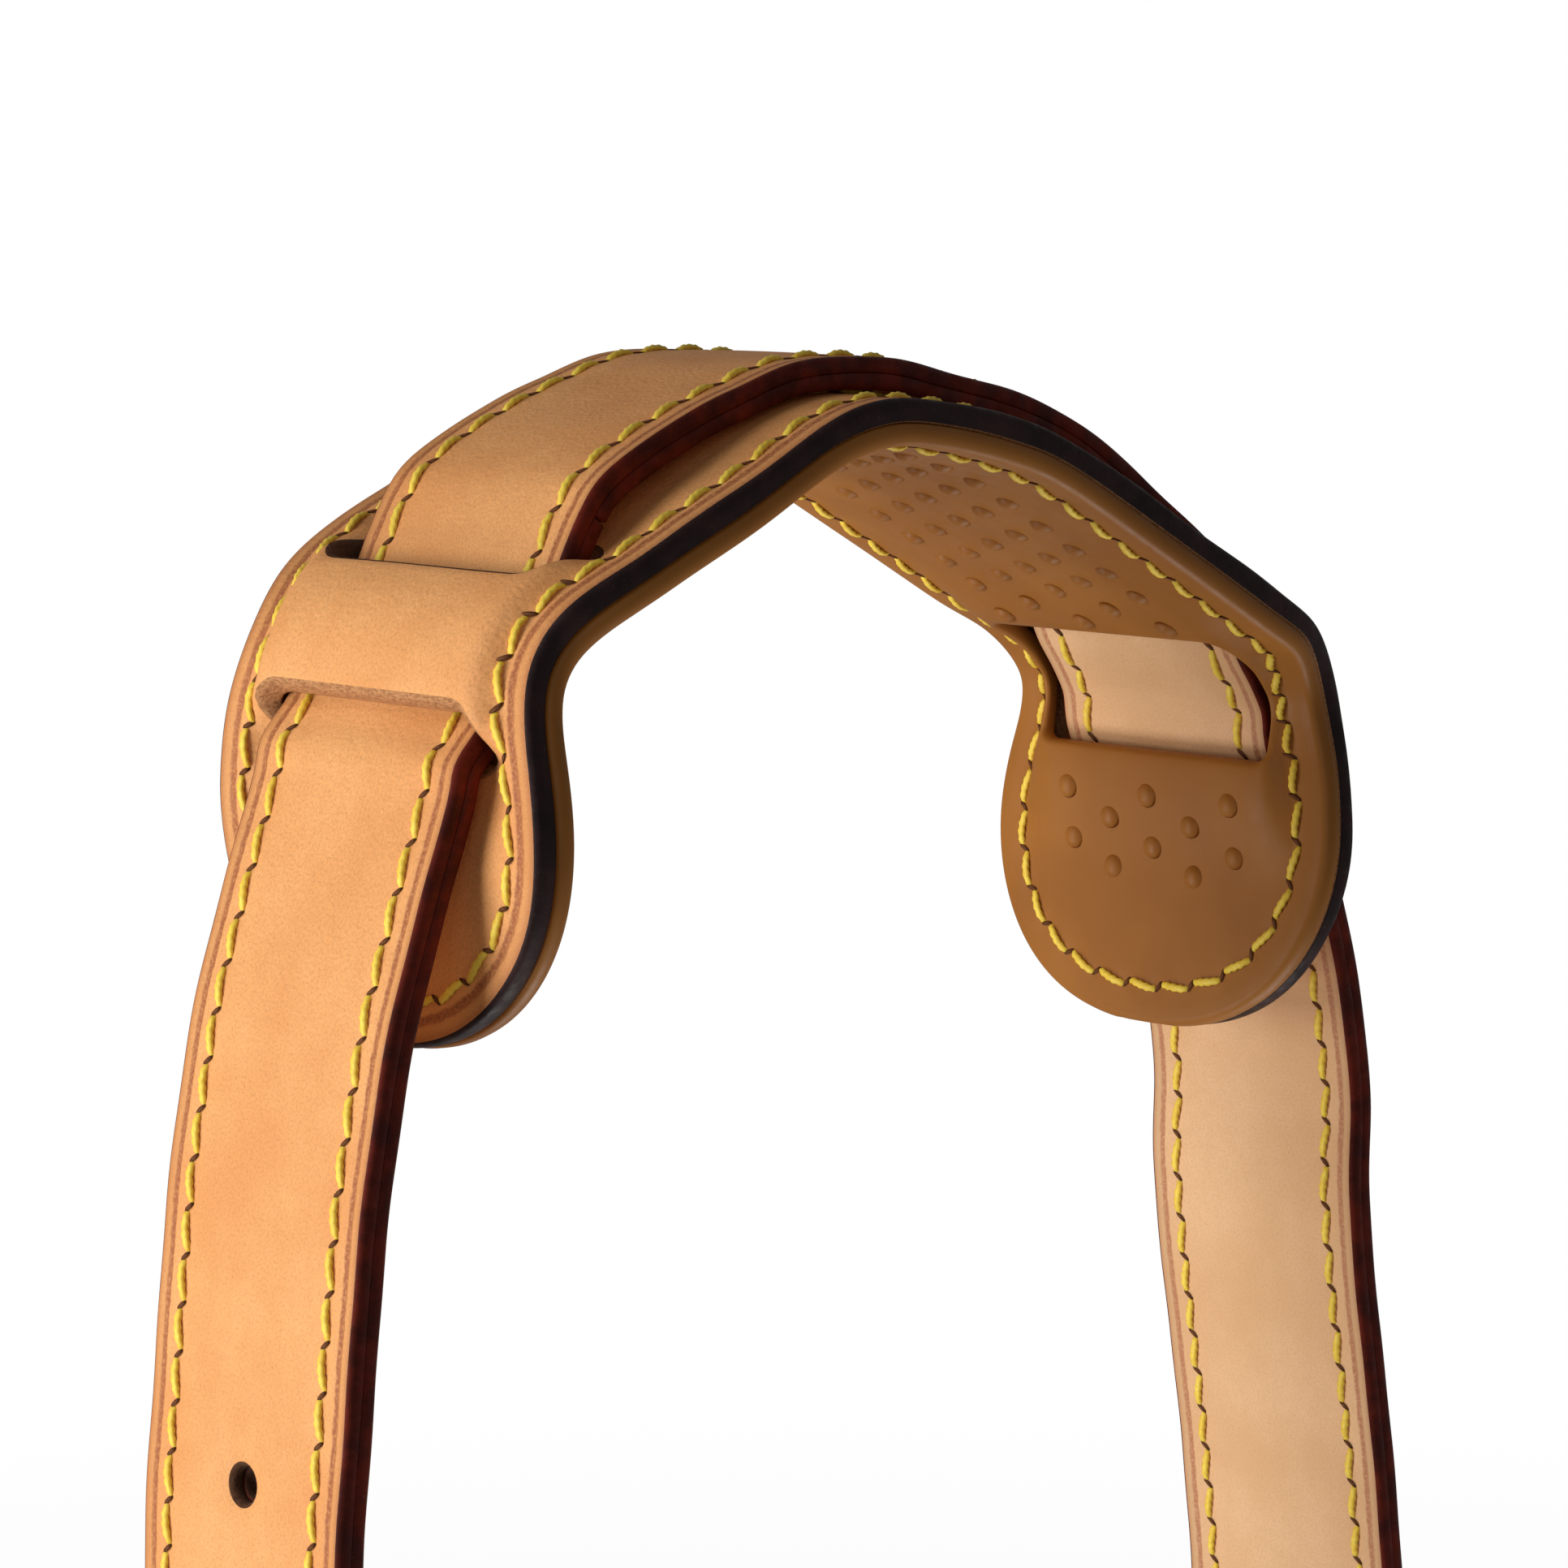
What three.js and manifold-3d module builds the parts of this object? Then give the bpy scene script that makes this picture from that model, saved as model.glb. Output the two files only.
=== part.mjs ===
// Leather shoulder strap for a bag, threaded through a sliding shoulder pad.
// Millimetres, +Z up. The strap hangs in an arch in the XZ plane and its width runs along Y.
// The origin is the middle of the pad's inner face, at the top of the arch, where a shoulder carries it.
// The left leg (-X) ends in a buckle, its short tab and a snap hook; the right leg ends in a folded loop
// and a second snap hook.
import * as THREE from "three";
import { mergeVertices } from "three/addons/utils/BufferGeometryUtils.js";
import Module from "manifold-3d";

const wasm = await Module();
wasm.setup();

// ---------------------------------------------------------------- driving dimensions
const STRAP_WIDTH = 30;
const LAYER = 1.6; // one leather layer of the strap
const GLUE_LINE = 0.1; // between the two layers
const STRAP_THICKNESS = 2 * LAYER + GLUE_LINE;
const STITCH_INSET = 4; // stitch line to the leather's edge
const THREAD_WIDTH = 0.8;
const THREAD_HEIGHT = 0.3; // how far a thread stands above the leather
const THREAD_GAP = 0.05;
const CLEARANCE = 0.5; // between the strap, with its threads, and what it passes

const PAD_HALF_WIDTH = 24.3;
const PAD_WAIST = 2.8; // how much narrower each side is at the slots
const PAD_WAIST_AT = 38; // from the pad's tips
const PAD_WAIST_REACH = 10;
const PAD_TIP_POWER = 2.3; // 2 would be a half circle
const PAD_LEATHER = 2.4;
const PAD_LINER = 2.3;
const TONGUE = 27.5; // tip to the lower slot
const LOWER_SLOT = 4.8;
const BRIDGE = 14.7;
const UPPER_SLOT = 7.5;
const WINDOW_START = 29.8; // the liner has one window where the leather has two slots and the bridge
const WINDOW_END = 54.5;
const SLOT_SHARE = 0.72; // of the pad's half width
const FLAT_SHARE = 0.79; // beyond this the pad is neither lifted nor pressed in
const BRIDGE_LIFT = 1.7; // how far the bridge stands out over the strap
const TONGUE_DIP = 2.4; // how far the strap presses the pad in beside the lower slot
const ARCH_DIP = 1.5; // and beside the upper one
const DIP_REACH = 11;

const NUB_RADIUS = 1.15;
const NUB_HEIGHT = 0.9;
const NUB_COLUMN_STEP = 5.9;
const NUB_ROW_STEP = 2.8;
const NUB_COLUMNS = 2; // on each side of the middle one
const NUB_MARGIN = 2; // from a slot to the first row

const HOLE_RADIUS = 1.7;
const HOLE_PITCH = 27;
const FIRST_HOLE_Z = -95;
const TIP_TAPER = 13;

const BAR = 3.6; // side of the buckle's and the eyes' bars
const BAR_BEVEL = 0.8;
const FOLD_GAP = 0.6; // bar's side to the leather folded round it
const TAB_LEATHER = 2.0;
const KEEPER_LEATHER = 1.6;
const KEEPER_HEIGHT = 8;
const EYE_INNER_HALF = 15.7;
const EYE_OUTER_HALF = 19.3;

const HEEL_BAR = [-59.8, -161]; // X, Z of the buckle's lower bar
const FRONT_BAR = [-63.75, -139];
const LEFT_EYE = [-59.8, -236];
const RIGHT_EYE = [87.5, -236];
const FIXED_KEEPER_Z = -181;
const SLIDING_KEEPER_Z = -205;

// ---------------------------------------------------------------- solids
const toSolid = (geometry) => {
  const bare = geometry.index ? geometry.toNonIndexed() : geometry.clone();
  bare.deleteAttribute("normal");
  bare.deleteAttribute("uv");
  const merged = mergeVertices(bare, 1e-4);
  return new wasm.Manifold(
    new wasm.Mesh({
      numProp: 3,
      vertProperties: merged.attributes.position.array,
      triVerts: new Uint32Array(merged.index.array),
    }),
  );
};

const toGeometry = (solid) => {
  const { numProp, numVert, vertProperties, triVerts } = solid.getMesh();
  const positions = new Float32Array(numVert * 3);
  for (let i = 0; i < numVert; i++)
    positions.set(vertProperties.subarray(i * numProp, i * numProp + 3), i * 3);
  return new THREE.BufferGeometry()
    .setAttribute("position", new THREE.BufferAttribute(positions, 3))
    .setIndex(new THREE.BufferAttribute(new Uint32Array(triVerts), 1));
};

const cut = (geometry, ...tools) =>
  toGeometry(tools.reduce((solid, tool) => solid.subtract(toSolid(tool)), toSolid(geometry)));

const join = (geometry, ...others) =>
  toGeometry(others.reduce((solid, other) => solid.add(toSolid(other)), toSolid(geometry)));

// ---------------------------------------------------------------- materials
const material = (color, roughness, metalness = 0) =>
  new THREE.MeshStandardMaterial({ color, roughness, metalness });
const LEATHER = material(0xd99a5b, 0.55);
const INNER_LEATHER = material(0xcf9a6c, 0.6);
const RUBBER = material(0x9a6330, 0.45);
const THREAD = material(0xd8b62c, 0.6);
const BRASS = material(0xc9a14a, 0.25, 1);
const STEEL = material(0x9a9a98, 0.35, 1);

const model = new THREE.Group();
const add = (name, geometry, look, parent = model) => {
  const mesh = new THREE.Mesh(geometry, look);
  mesh.name = name;
  parent.add(mesh);
  return mesh;
};

// ---------------------------------------------------------------- paths in the XZ plane
// A smooth line through points, measured along its length. Its normal points out of the arch.
class Path {
  constructor(points) {
    this.curve = new THREE.SplineCurve(points.map(([x, z]) => new THREE.Vector2(x, z)));
    this.curve.arcLengthDivisions = 1200;
    this.length = this.curve.getLength();
  }
  tangent(s) {
    const reach = 0.05;
    const from = this.curve.getPointAt(Math.max(0, s - reach) / this.length);
    const to = this.curve.getPointAt(Math.min(this.length, s + reach) / this.length);
    return to.sub(from).normalize();
  }
  at(s, lift = 0) {
    const point = this.curve.getPointAt(THREE.MathUtils.clamp(s / this.length, 0, 1));
    const along = this.tangent(s);
    return [point.x - along.y * lift, point.y + along.x * lift];
  }
  // The length at which the line first passes a height, from one end or the other.
  whereZ(z, fromEnd = false) {
    const step = 0.1;
    const count = Math.floor(this.length / step);
    const heightAt = (i) => this.at(fromEnd ? this.length - i * step : i * step)[1];
    const side = Math.sign(heightAt(0) - z);
    let i = 1;
    while (i < count && Math.sign(heightAt(i) - z) === side) i++;
    return fromEnd ? this.length - i * step : i * step;
  }
  // Lengths from one to another, close together where the line bends.
  rows(from, to, { turn = 0.22, step = 9 } = {}) {
    const small = 0.25;
    const found = [from];
    let last = from;
    for (let s = from + small; s < to - small; s += small) {
      const bend = Math.abs(this.tangent(s).angleTo(this.tangent(last)));
      if (bend >= turn || s - last >= step) {
        found.push(s);
        last = s;
      }
    }
    found.push(to);
    return found;
  }
}

// A sheet that follows a path: rows along it, columns across it as shares of its half width.
function plate(path, rows, columns, bottom, top, options = {}) {
  const { half = () => STRAP_WIDTH / 2, lift = () => 0, open = () => false } = options;
  const positions = [];
  for (const s of rows)
    for (const share of columns) {
      const y = share * half(s);
      for (const height of [bottom, top]) {
        const [x, z] = path.at(s, height + lift(s, share));
        positions.push(x, y, z);
      }
    }
  const corner = (i, j, side) => (i * columns.length + j) * 2 + side;
  const isSolid = (i, j) =>
    i >= 0 &&
    j >= 0 &&
    i < rows.length - 1 &&
    j < columns.length - 1 &&
    !open((rows[i] + rows[i + 1]) / 2, (columns[j] + columns[j + 1]) / 2);
  const index = [];
  const quad = (a, b, c, d) => index.push(a, b, c, a, c, d);
  for (let i = 0; i < rows.length - 1; i++)
    for (let j = 0; j < columns.length - 1; j++) {
      if (!isSolid(i, j)) continue;
      const [a, b, c, d] = [0, 1].map((side) => [
        corner(i, j, side),
        corner(i + 1, j, side),
        corner(i + 1, j + 1, side),
        corner(i, j + 1, side),
      ]).reduce((low, high) => low.map((v, k) => [v, high[k]]));
      quad(a[1], b[1], c[1], d[1]);
      quad(a[0], d[0], c[0], b[0]);
      if (!isSolid(i, j - 1)) quad(a[0], b[0], b[1], a[1]);
      if (!isSolid(i, j + 1)) quad(c[0], d[0], d[1], c[1]);
      if (!isSolid(i - 1, j)) quad(d[0], a[0], a[1], d[1]);
      if (!isSolid(i + 1, j)) quad(b[0], c[0], c[1], b[1]);
    }
  const indexed = new THREE.BufferGeometry();
  indexed.setAttribute("position", new THREE.Float32BufferAttribute(positions, 3));
  indexed.setIndex(index);
  return mergeVertices(indexed.toNonIndexed(), 1e-5);
}

// A thread that lies on a sheet, along [s, y] stations. Side +1 is the outer face, -1 the inner one.
function threadLine(path, stations, height, side, closed = false) {
  const count = stations.length;
  const centre = (k, lift) => {
    const [s, y] = stations[(k + count) % count];
    const [x, z] = path.at(s, height + side * lift);
    return new THREE.Vector3(x, y, z);
  };
  const positions = [];
  for (let k = 0; k < count; k++) {
    const before = centre(closed ? k - 1 : Math.max(0, k - 1), THREAD_GAP);
    const after = centre(closed ? k + 1 : Math.min(count - 1, k + 1), THREAD_GAP);
    const base = centre(k, THREAD_GAP);
    const crown = centre(k, THREAD_GAP + THREAD_HEIGHT);
    const across = new THREE.Vector3()
      .crossVectors(crown.clone().sub(base), after.clone().sub(before))
      .normalize()
      .multiplyScalar(THREAD_WIDTH / 2);
    for (const corner of [base.clone().add(across), crown, base.clone().sub(across)])
      positions.push(...corner.toArray());
  }
  const index = [];
  const sides = 3;
  for (let k = 0; k < (closed ? count : count - 1); k++)
    for (let m = 0; m < sides; m++) {
      const a = k * sides + m;
      const b = k * sides + ((m + 1) % sides);
      const c = ((k + 1) % count) * sides + ((m + 1) % sides);
      const d = ((k + 1) % count) * sides + m;
      index.push(a, c, b, a, d, c);
    }
  if (!closed) {
    const end = (count - 1) * sides;
    index.push(0, 1, 2, end, end + 2, end + 1);
  }
  const line = new THREE.BufferGeometry();
  line.setAttribute("position", new THREE.Float32BufferAttribute(positions, 3));
  line.setIndex(index);
  return toSolid(line).volume() > 0 ? line : turnedInsideOut(line);
}

const turnedInsideOut = (geometry) => {
  const index = [...geometry.index.array];
  for (let i = 0; i < index.length; i += 3) [index[i + 1], index[i + 2]] = [index[i + 2], index[i + 1]];
  geometry.setIndex(index);
  return geometry;
};

// ---------------------------------------------------------------- shoulder pad
// The pad's outer face, from the left tongue's tip over the top to the right tongue's tip.
const padPath = new Path([
  [-46.6, -55.5], [-46.1, -44], [-46.4, -32], [-46.1, -23.5], [-44.0, -17.2], [-39.6, -12.3],
  [-31.4, -7.7], [-21.2, -3.0], [-10.5, 2.4], [-2.5, 4.5], [5, 4.2], [15.1, 2.2], [24, -0.8],
  [39.3, -8.8], [53.8, -16.7], [61.6, -21.0], [66.4, -27], [67.8, -33.5], [67.1, -42], [65.8, -54],
  [64.2, -66.5],
]);
const PAD_LENGTH = padPath.length;
const fromTip = (s) => Math.min(s, PAD_LENGTH - s);
const tipWidth = (distance, radius) =>
  distance >= radius
    ? radius
    : radius * (1 - ((radius - distance) / radius) ** PAD_TIP_POWER) ** (1 / PAD_TIP_POWER);
const waist = (s) => PAD_WAIST * Math.exp(-(((fromTip(s) - PAD_WAIST_AT) / PAD_WAIST_REACH) ** 2));
const padHalf = (s, inset = 0) =>
  tipWidth(Math.max(0, fromTip(s) - inset), PAD_HALF_WIDTH - inset) - waist(s);

// Slot and bridge limits, measured from a tip.
const LOWER_SLOT_END = TONGUE + LOWER_SLOT;
const BRIDGE_END = LOWER_SLOT_END + BRIDGE;
const UPPER_SLOT_END = BRIDGE_END + UPPER_SLOT;
const inSlots = (s) => fromTip(s) > TONGUE && fromTip(s) < UPPER_SLOT_END;
const inBridge = (s) => fromTip(s) >= LOWER_SLOT_END && fromTip(s) <= BRIDGE_END;
const ramp = (x, from, to) => THREE.MathUtils.clamp((x - from) / (to - from), 0, 1);
const fade = (x) => 1 - THREE.MathUtils.smoothstep(x, 0, 1);
const acrossPad = (share) => 1 - ramp(Math.abs(share), SLOT_SHARE, FLAT_SHARE);
const dipDepth = (s) =>
  TONGUE_DIP + (ARCH_DIP - TONGUE_DIP) * THREE.MathUtils.smoothstep(fromTip(s), LOWER_SLOT_END, BRIDGE_END);
const padDip = (s, share) => {
  const away = Math.max(TONGUE - fromTip(s), fromTip(s) - UPPER_SLOT_END);
  return -dipDepth(s) * fade(Math.max(0, away) / DIP_REACH) * acrossPad(share);
};
const bridgeLift = (s) => {
  const d = fromTip(s);
  const rise = ramp(d, TONGUE, LOWER_SLOT_END) * (1 - ramp(d, BRIDGE_END, UPPER_SLOT_END));
  return rise * (BRIDGE_LIFT + dipDepth(s));
};
const leatherLift = (s, share) => padDip(s, share) + bridgeLift(s) * acrossPad(share);

const mirrored = (distances) => [...distances, ...distances.map((d) => PAD_LENGTH - d).reverse()];
const padRows = mirrored([
  0.4, 1.6, 3.6, 6.4, 10, 14.5, 20, 24.5, TONGUE - 0.01, TONGUE + 0.01,
  WINDOW_START, LOWER_SLOT_END, 35, 37.5, 40, 42.5, BRIDGE_END, 50.5, UPPER_SLOT_END - 0.01,
  UPPER_SLOT_END + 0.01, 57.5, 61, 65.5, 71, 78, 85, 92, 99,
]);
const PAD_COLUMNS = [-1, -FLAT_SHARE, -SLOT_SHARE, -0.35, 0, 0.35, SLOT_SHARE, FLAT_SHARE, 1];
const slotOpen = (s, share) => inSlots(s) && !inBridge(s) && Math.abs(share) < SLOT_SHARE;
const windowOpen = (s, share) =>
  fromTip(s) > WINDOW_START && fromTip(s) < WINDOW_END && Math.abs(share) < SLOT_SHARE;

function liner() {
  const sheet = plate(padPath, padRows, PAD_COLUMNS, -PAD_LEATHER - PAD_LINER, -PAD_LEATHER - 0.1, {
    half: padHalf,
    lift: padDip,
    open: windowOpen,
  });
  const nubs = [];
  const rowCount = Math.floor(PAD_LENGTH / NUB_ROW_STEP);
  for (let row = 0; row <= rowCount; row++)
    for (let column = -NUB_COLUMNS; column <= NUB_COLUMNS; column++) {
      const s = PAD_LENGTH / 2 + (row - rowCount / 2) * NUB_ROW_STEP;
      if ((row + column) % 2 !== 0) continue;
      const y = column * NUB_COLUMN_STEP;
      if (onTongue(s)) nubs.push(nub(s + Math.sign(PAD_LENGTH / 2 - s) * (NUB_ROW_STEP / 2), y));
      else if (fromTip(s) >= UPPER_SLOT_END + NUB_MARGIN) nubs.push(nub(s, y));
    }
  return join(sheet, ...nubs);
}

function onTongue(s) {
  return fromTip(s) > TONGUE - 13 && fromTip(s) < TONGUE - NUB_MARGIN;
}

// A short blunt cone that stands on the liner's inner face.
function nub(s, y) {
  const root = 0.6;
  const face = -PAD_LEATHER - PAD_LINER + padDip(s, y / padHalf(s));
  const [x, z] = padPath.at(s, face - (NUB_HEIGHT - root) / 2);
  const along = padPath.tangent(s);
  const cone = new THREE.CylinderGeometry(NUB_RADIUS, NUB_RADIUS * 0.45, NUB_HEIGHT + root, 6);
  cone.applyMatrix4(
    new THREE.Matrix4().makeBasis(
      new THREE.Vector3(along.x, 0, along.y),
      new THREE.Vector3(-along.y, 0, along.x),
      new THREE.Vector3(0, -1, 0),
    ),
  );
  return cone.translate(x, y, z);
}

add(
  "pad_leather",
  plate(padPath, padRows, PAD_COLUMNS, -PAD_LEATHER, 0, { half: padHalf, lift: leatherLift, open: slotOpen }),
  LEATHER,
);
add("pad_liner", liner(), RUBBER);

const stitchRows = padRows.filter((s) => fromTip(s) > STITCH_INSET + 0.5);
const stitchHalf = (s) => padHalf(s, STITCH_INSET);
const padStitchLoop = [
  ...stitchRows.map((s) => [s, -stitchHalf(s)]),
  ...[...stitchRows].reverse().map((s) => [s, stitchHalf(s)]),
];
add("pad_needle_thread", threadLine(padPath, padStitchLoop, 0, 1, true), THREAD);
add("pad_bobbin_thread", threadLine(padPath, padStitchLoop, -PAD_LEATHER - PAD_LINER, -1, true), THREAD);

// ---------------------------------------------------------------- strap
// Its outer face. Over the pad it is given by its height above the pad's outer face.
const UNDER_BRIDGE = BRIDGE_LIFT - PAD_LEATHER - CLEARANCE - 0.2;
const ON_PAD = STRAP_THICKNESS + CLEARANCE;
// Distance from the pad's left tip, and the height of the strap's outer face above the pad's.
const BESIDE_SLOTS = [
  [24.8, 2.65], [28, 1.75], [LOWER_SLOT_END, UNDER_BRIDGE], [37, UNDER_BRIDGE - 0.3],
  [42, UNDER_BRIDGE - 0.7], [BRIDGE_END, UNDER_BRIDGE - 0.4], [51, 0.8], [UPPER_SLOT_END, 3.05],
];
const OVER_PAD = [
  ...BESIDE_SLOTS,
  [58, 4.6], [64, 5.3], [70, 5.0], [76, 4.2], [84, ON_PAD], [94, ON_PAD + 0.2], [103, ON_PAD + 0.2],
  [112, 4.8], [121, 5.8], [130, 5.5], [138, 4.6], [146, 3.8],
  ...BESIDE_SLOTS.map(([distance, height]) => [PAD_LENGTH - distance, height]).reverse(),
];
const foldRadius = (leather) => BAR / 2 + FOLD_GAP + leather;
const STRAP_FOLD = foldRadius(STRAP_THICKNESS);
const strapPath = new Path([
  [-65.9, -218], [-65.9, -200], [-66.0, -184], [-67.1, -173], [-68.2, -161.5], [-64.9, -148.5],
  [-61.3, -141.5], [-60.8, -137], [-61.5, -129], [-62.8, -119], [-63.2, -110], [-63, -100], [-61.6, -85.7],
  [-59.6, -68], [-56.4, -52], [-52.7, -40.8],
  ...OVER_PAD.map(([distance, height]) => padPath.at(distance, height)),
  [75.0, -49.5], [79.3, -63], [81.3, -75], [81.4, -86], [83.0, -98], [86, -115], [88.4, -133],
  [90.2, -155], [90.9, -180], [90.9, -212], [91.6, -224],
  ...[0, 45, 90, 135, 180].map((angle) => {
    const turn = THREE.MathUtils.degToRad(angle);
    return [RIGHT_EYE[0] + STRAP_FOLD * Math.cos(turn), RIGHT_EYE[1] - STRAP_FOLD * Math.sin(turn)];
  }),
  [83.4, -224], [84.1, -214], [84.1, -203],
]);
const LEFT_JOINT_Z = -35;
const RIGHT_JOINT_Z = -48;
const JOINT_GAP = 0.8;
const leftJoint = strapPath.whereZ(LEFT_JOINT_Z);
const rightJoint = strapPath.whereZ(RIGHT_JOINT_Z, true);
const strapHalf = (s) => (STRAP_WIDTH / 2) * (1 - Math.max(0, 1 - s / TIP_TAPER) ** 2.4) ** 0.8;

const along = (x, z, radius, length, sides = 16) =>
  new THREE.CylinderGeometry(radius, radius, length, sides).rotateZ(Math.PI / 2).translate(x, 0, z);

// One stretch of strap: two leather layers and the two threads on each face.
function strapStretch(name, from, to, threads, tools = []) {
  const limits = [...threads.face, ...threads.back];
  const rows = [...new Set([...strapPath.rows(from, to, { turn: 0.15, step: 14 }), ...limits])].sort(
    (a, b) => a - b,
  );
  const half = strapHalf;
  const outer = plate(strapPath, rows, [-1, 1], -LAYER, 0, { half });
  const inner = plate(strapPath, rows, [-1, 1], -STRAP_THICKNESS, -LAYER - GLUE_LINE, { half });
  add(`${name}_face_leather`, tools.length ? cut(outer, ...tools) : outer, LEATHER);
  add(`${name}_back_leather`, tools.length ? cut(inner, ...tools) : inner, INNER_LEATHER);
  const stitchY = STRAP_WIDTH / 2 - STITCH_INSET;
  for (const [face, height, side, stitched] of [
    ["face", 0, 1, threads.face],
    ["back", -STRAP_THICKNESS, -1, threads.back],
  ])
    for (const [edge, sign] of [["near", -1], ["far", 1]]) {
      const stations = rows.filter((s) => s >= stitched[0] && s <= stitched[1]);
      const row = stations.map((s) => [s, sign * stitchY]);
      add(`${name}_${face}_thread_${edge}`, threadLine(strapPath, row, height, side), THREAD);
    }
}

// ---------------------------------------------------------------- buckle prong, and the holes
const prongPath = new Path([
  [-60.6, -158.6], [-62.6, -154.6], [-65.0, -149.6], [-66.6, -145.4], [-67.0, -141.5], [-66.9, -136.8],
]);
const PRONG_THICKNESS = 2.0;
const PRONG_WIDTH = 2.2;
const prongFinger = (grow = 0, width = PRONG_WIDTH) =>
  plate(
    prongPath,
    prongPath.rows(0, prongPath.length, { turn: 0.12, step: 6 }),
    [-1, 1],
    -PRONG_THICKNESS / 2 - grow,
    PRONG_THICKNESS / 2 + grow,
    { half: () => width / 2 },
  );
const prongHole = prongFinger(0.7, 2 * HOLE_RADIUS);
const prongHoleLifted = prongFinger(0.7, 2 * HOLE_RADIUS)
  .translate(-HEEL_BAR[0], 0, -HEEL_BAR[1])
  .rotateY(THREE.MathUtils.degToRad(-4))
  .translate(HEEL_BAR[0], 0, HEEL_BAR[1]);
const firstHole = strapPath.whereZ(FIRST_HOLE_Z);
const holes = [0, 1, 3, 4]
  .map((k) => firstHole - k * HOLE_PITCH)
  .map((s) => {
    const [x, z] = strapPath.at(s, -STRAP_THICKNESS / 2);
    const tilt = Math.atan2(strapPath.tangent(s).x, strapPath.tangent(s).y);
    return along(0, 0, HOLE_RADIUS, 12, 20).rotateY(tilt).translate(x, 0, z);
  });

const THREAD_END = 0.7; // from a stretch's end to its threads
strapStretch(
  "left_leg",
  0,
  leftJoint - JOINT_GAP / 2,
  {
    face: [TIP_TAPER, leftJoint - JOINT_GAP / 2 - THREAD_END],
    back: [TIP_TAPER, leftJoint - JOINT_GAP / 2 - THREAD_END],
  },
  [prongHole, prongHoleLifted, ...holes],
);
strapStretch("crown", leftJoint + JOINT_GAP / 2, rightJoint - JOINT_GAP / 2, {
  face: [leftJoint + JOINT_GAP / 2 + THREAD_END, rightJoint - JOINT_GAP / 2 - THREAD_END],
  back: [leftJoint + JOINT_GAP / 2 + THREAD_END, rightJoint - JOINT_GAP / 2 - THREAD_END],
});

// The right leg turns back on itself round the eye, and two rivets hold the fold.
const RIVET_Z = -210;
const RIVET_Y = 8;
const rivetHoles = [-1, 1].map((side) => along(87.5, RIVET_Z, 1.9, 20, 16).translate(0, side * RIVET_Y, 0));
const foldStart = strapPath.length - 2 * Math.abs(RIGHT_EYE[1] + 203) - Math.PI * STRAP_FOLD;
strapStretch(
  "right_leg",
  rightJoint + JOINT_GAP / 2,
  strapPath.length,
  {
    face: [rightJoint + JOINT_GAP / 2 + THREAD_END, strapPath.length - 2],
    back: [rightJoint + JOINT_GAP / 2 + THREAD_END, foldStart - 3],
  },
  rivetHoles,
);
const rivetProfile = [
  [0, 0], [3.6, 0], [4.4, 0.5], [4.4, 1.1], [1.6, 1.1], [1.6, 8.9], [3.9, 8.9], [3.9, 9.5], [3.3, 10], [0, 10],
].map(([r, h]) => new THREE.Vector2(r, h));
for (const [edge, side] of [["near", -1], ["far", 1]])
  add(
    `fold_rivet_${edge}`,
    new THREE.LatheGeometry(rivetProfile, 16).rotateZ(Math.PI / 2).translate(92.5, side * RIVET_Y, RIVET_Z),
    BRASS,
  );

// ---------------------------------------------------------------- buckle, its tab and keepers
const outline = (points, radius = 0) => {
  const shape = new THREE.Shape();
  points.forEach(([x, y], i) => {
    const corner = new THREE.Vector2(x, y);
    const before = new THREE.Vector2(...points[(i + points.length - 1) % points.length]);
    const after = new THREE.Vector2(...points[(i + 1) % points.length]);
    const from = corner.clone().add(before.sub(corner).normalize().multiplyScalar(radius));
    const to = corner.clone().add(after.sub(corner).normalize().multiplyScalar(radius));
    if (i === 0) shape.moveTo(from.x, from.y);
    else shape.lineTo(from.x, from.y);
    if (radius) shape.quadraticCurveTo(corner.x, corner.y, to.x, to.y);
  });
  shape.closePath();
  return shape;
};

// A flat shape with rounded-off edges, centred on its own plane.
const slab = (shape, thickness, bevel, curveSegments = 3) =>
  new THREE.ExtrudeGeometry(shape, {
    depth: thickness - 2 * bevel,
    bevelThickness: bevel,
    bevelSize: bevel,
    bevelOffset: -bevel,
    bevelSegments: 1,
    curveSegments,
  }).translate(0, 0, -(thickness - 2 * bevel) / 2);

const rectangle = (halfWidth, low, high) => [
  [-halfWidth, low], [halfWidth, low], [halfWidth, high], [-halfWidth, high],
];
const [heelX, heelZ] = HEEL_BAR;
const frameLean = Math.atan2(FRONT_BAR[0] - heelX, FRONT_BAR[1] - heelZ);
const frameReach = Math.hypot(FRONT_BAR[0] - heelX, FRONT_BAR[1] - heelZ);
const frameShape = outline(rectangle(EYE_OUTER_HALF, -BAR / 2, frameReach + BAR / 2), 3.2);
frameShape.holes.push(outline(rectangle(EYE_INNER_HALF, BAR / 2, frameReach - BAR / 2), 1));
// Stands a flat shape up in the YZ plane.
const upright = (geometry) => geometry.rotateX(Math.PI / 2).rotateZ(Math.PI / 2);
add(
  "buckle_frame",
  upright(slab(frameShape, BAR, BAR_BEVEL)).rotateY(frameLean).translate(heelX, 0, heelZ),
  BRASS,
);

const prongRing = new THREE.LatheGeometry(
  [[2.45, -2], [4.0, -2], [4.0, 2], [2.45, 2], [2.45, -2]].map(([r, h]) => new THREE.Vector2(r, h)),
  24,
);
add("buckle_prong", join(prongRing.translate(heelX, 0, heelZ), prongFinger()), BRASS);

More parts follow.
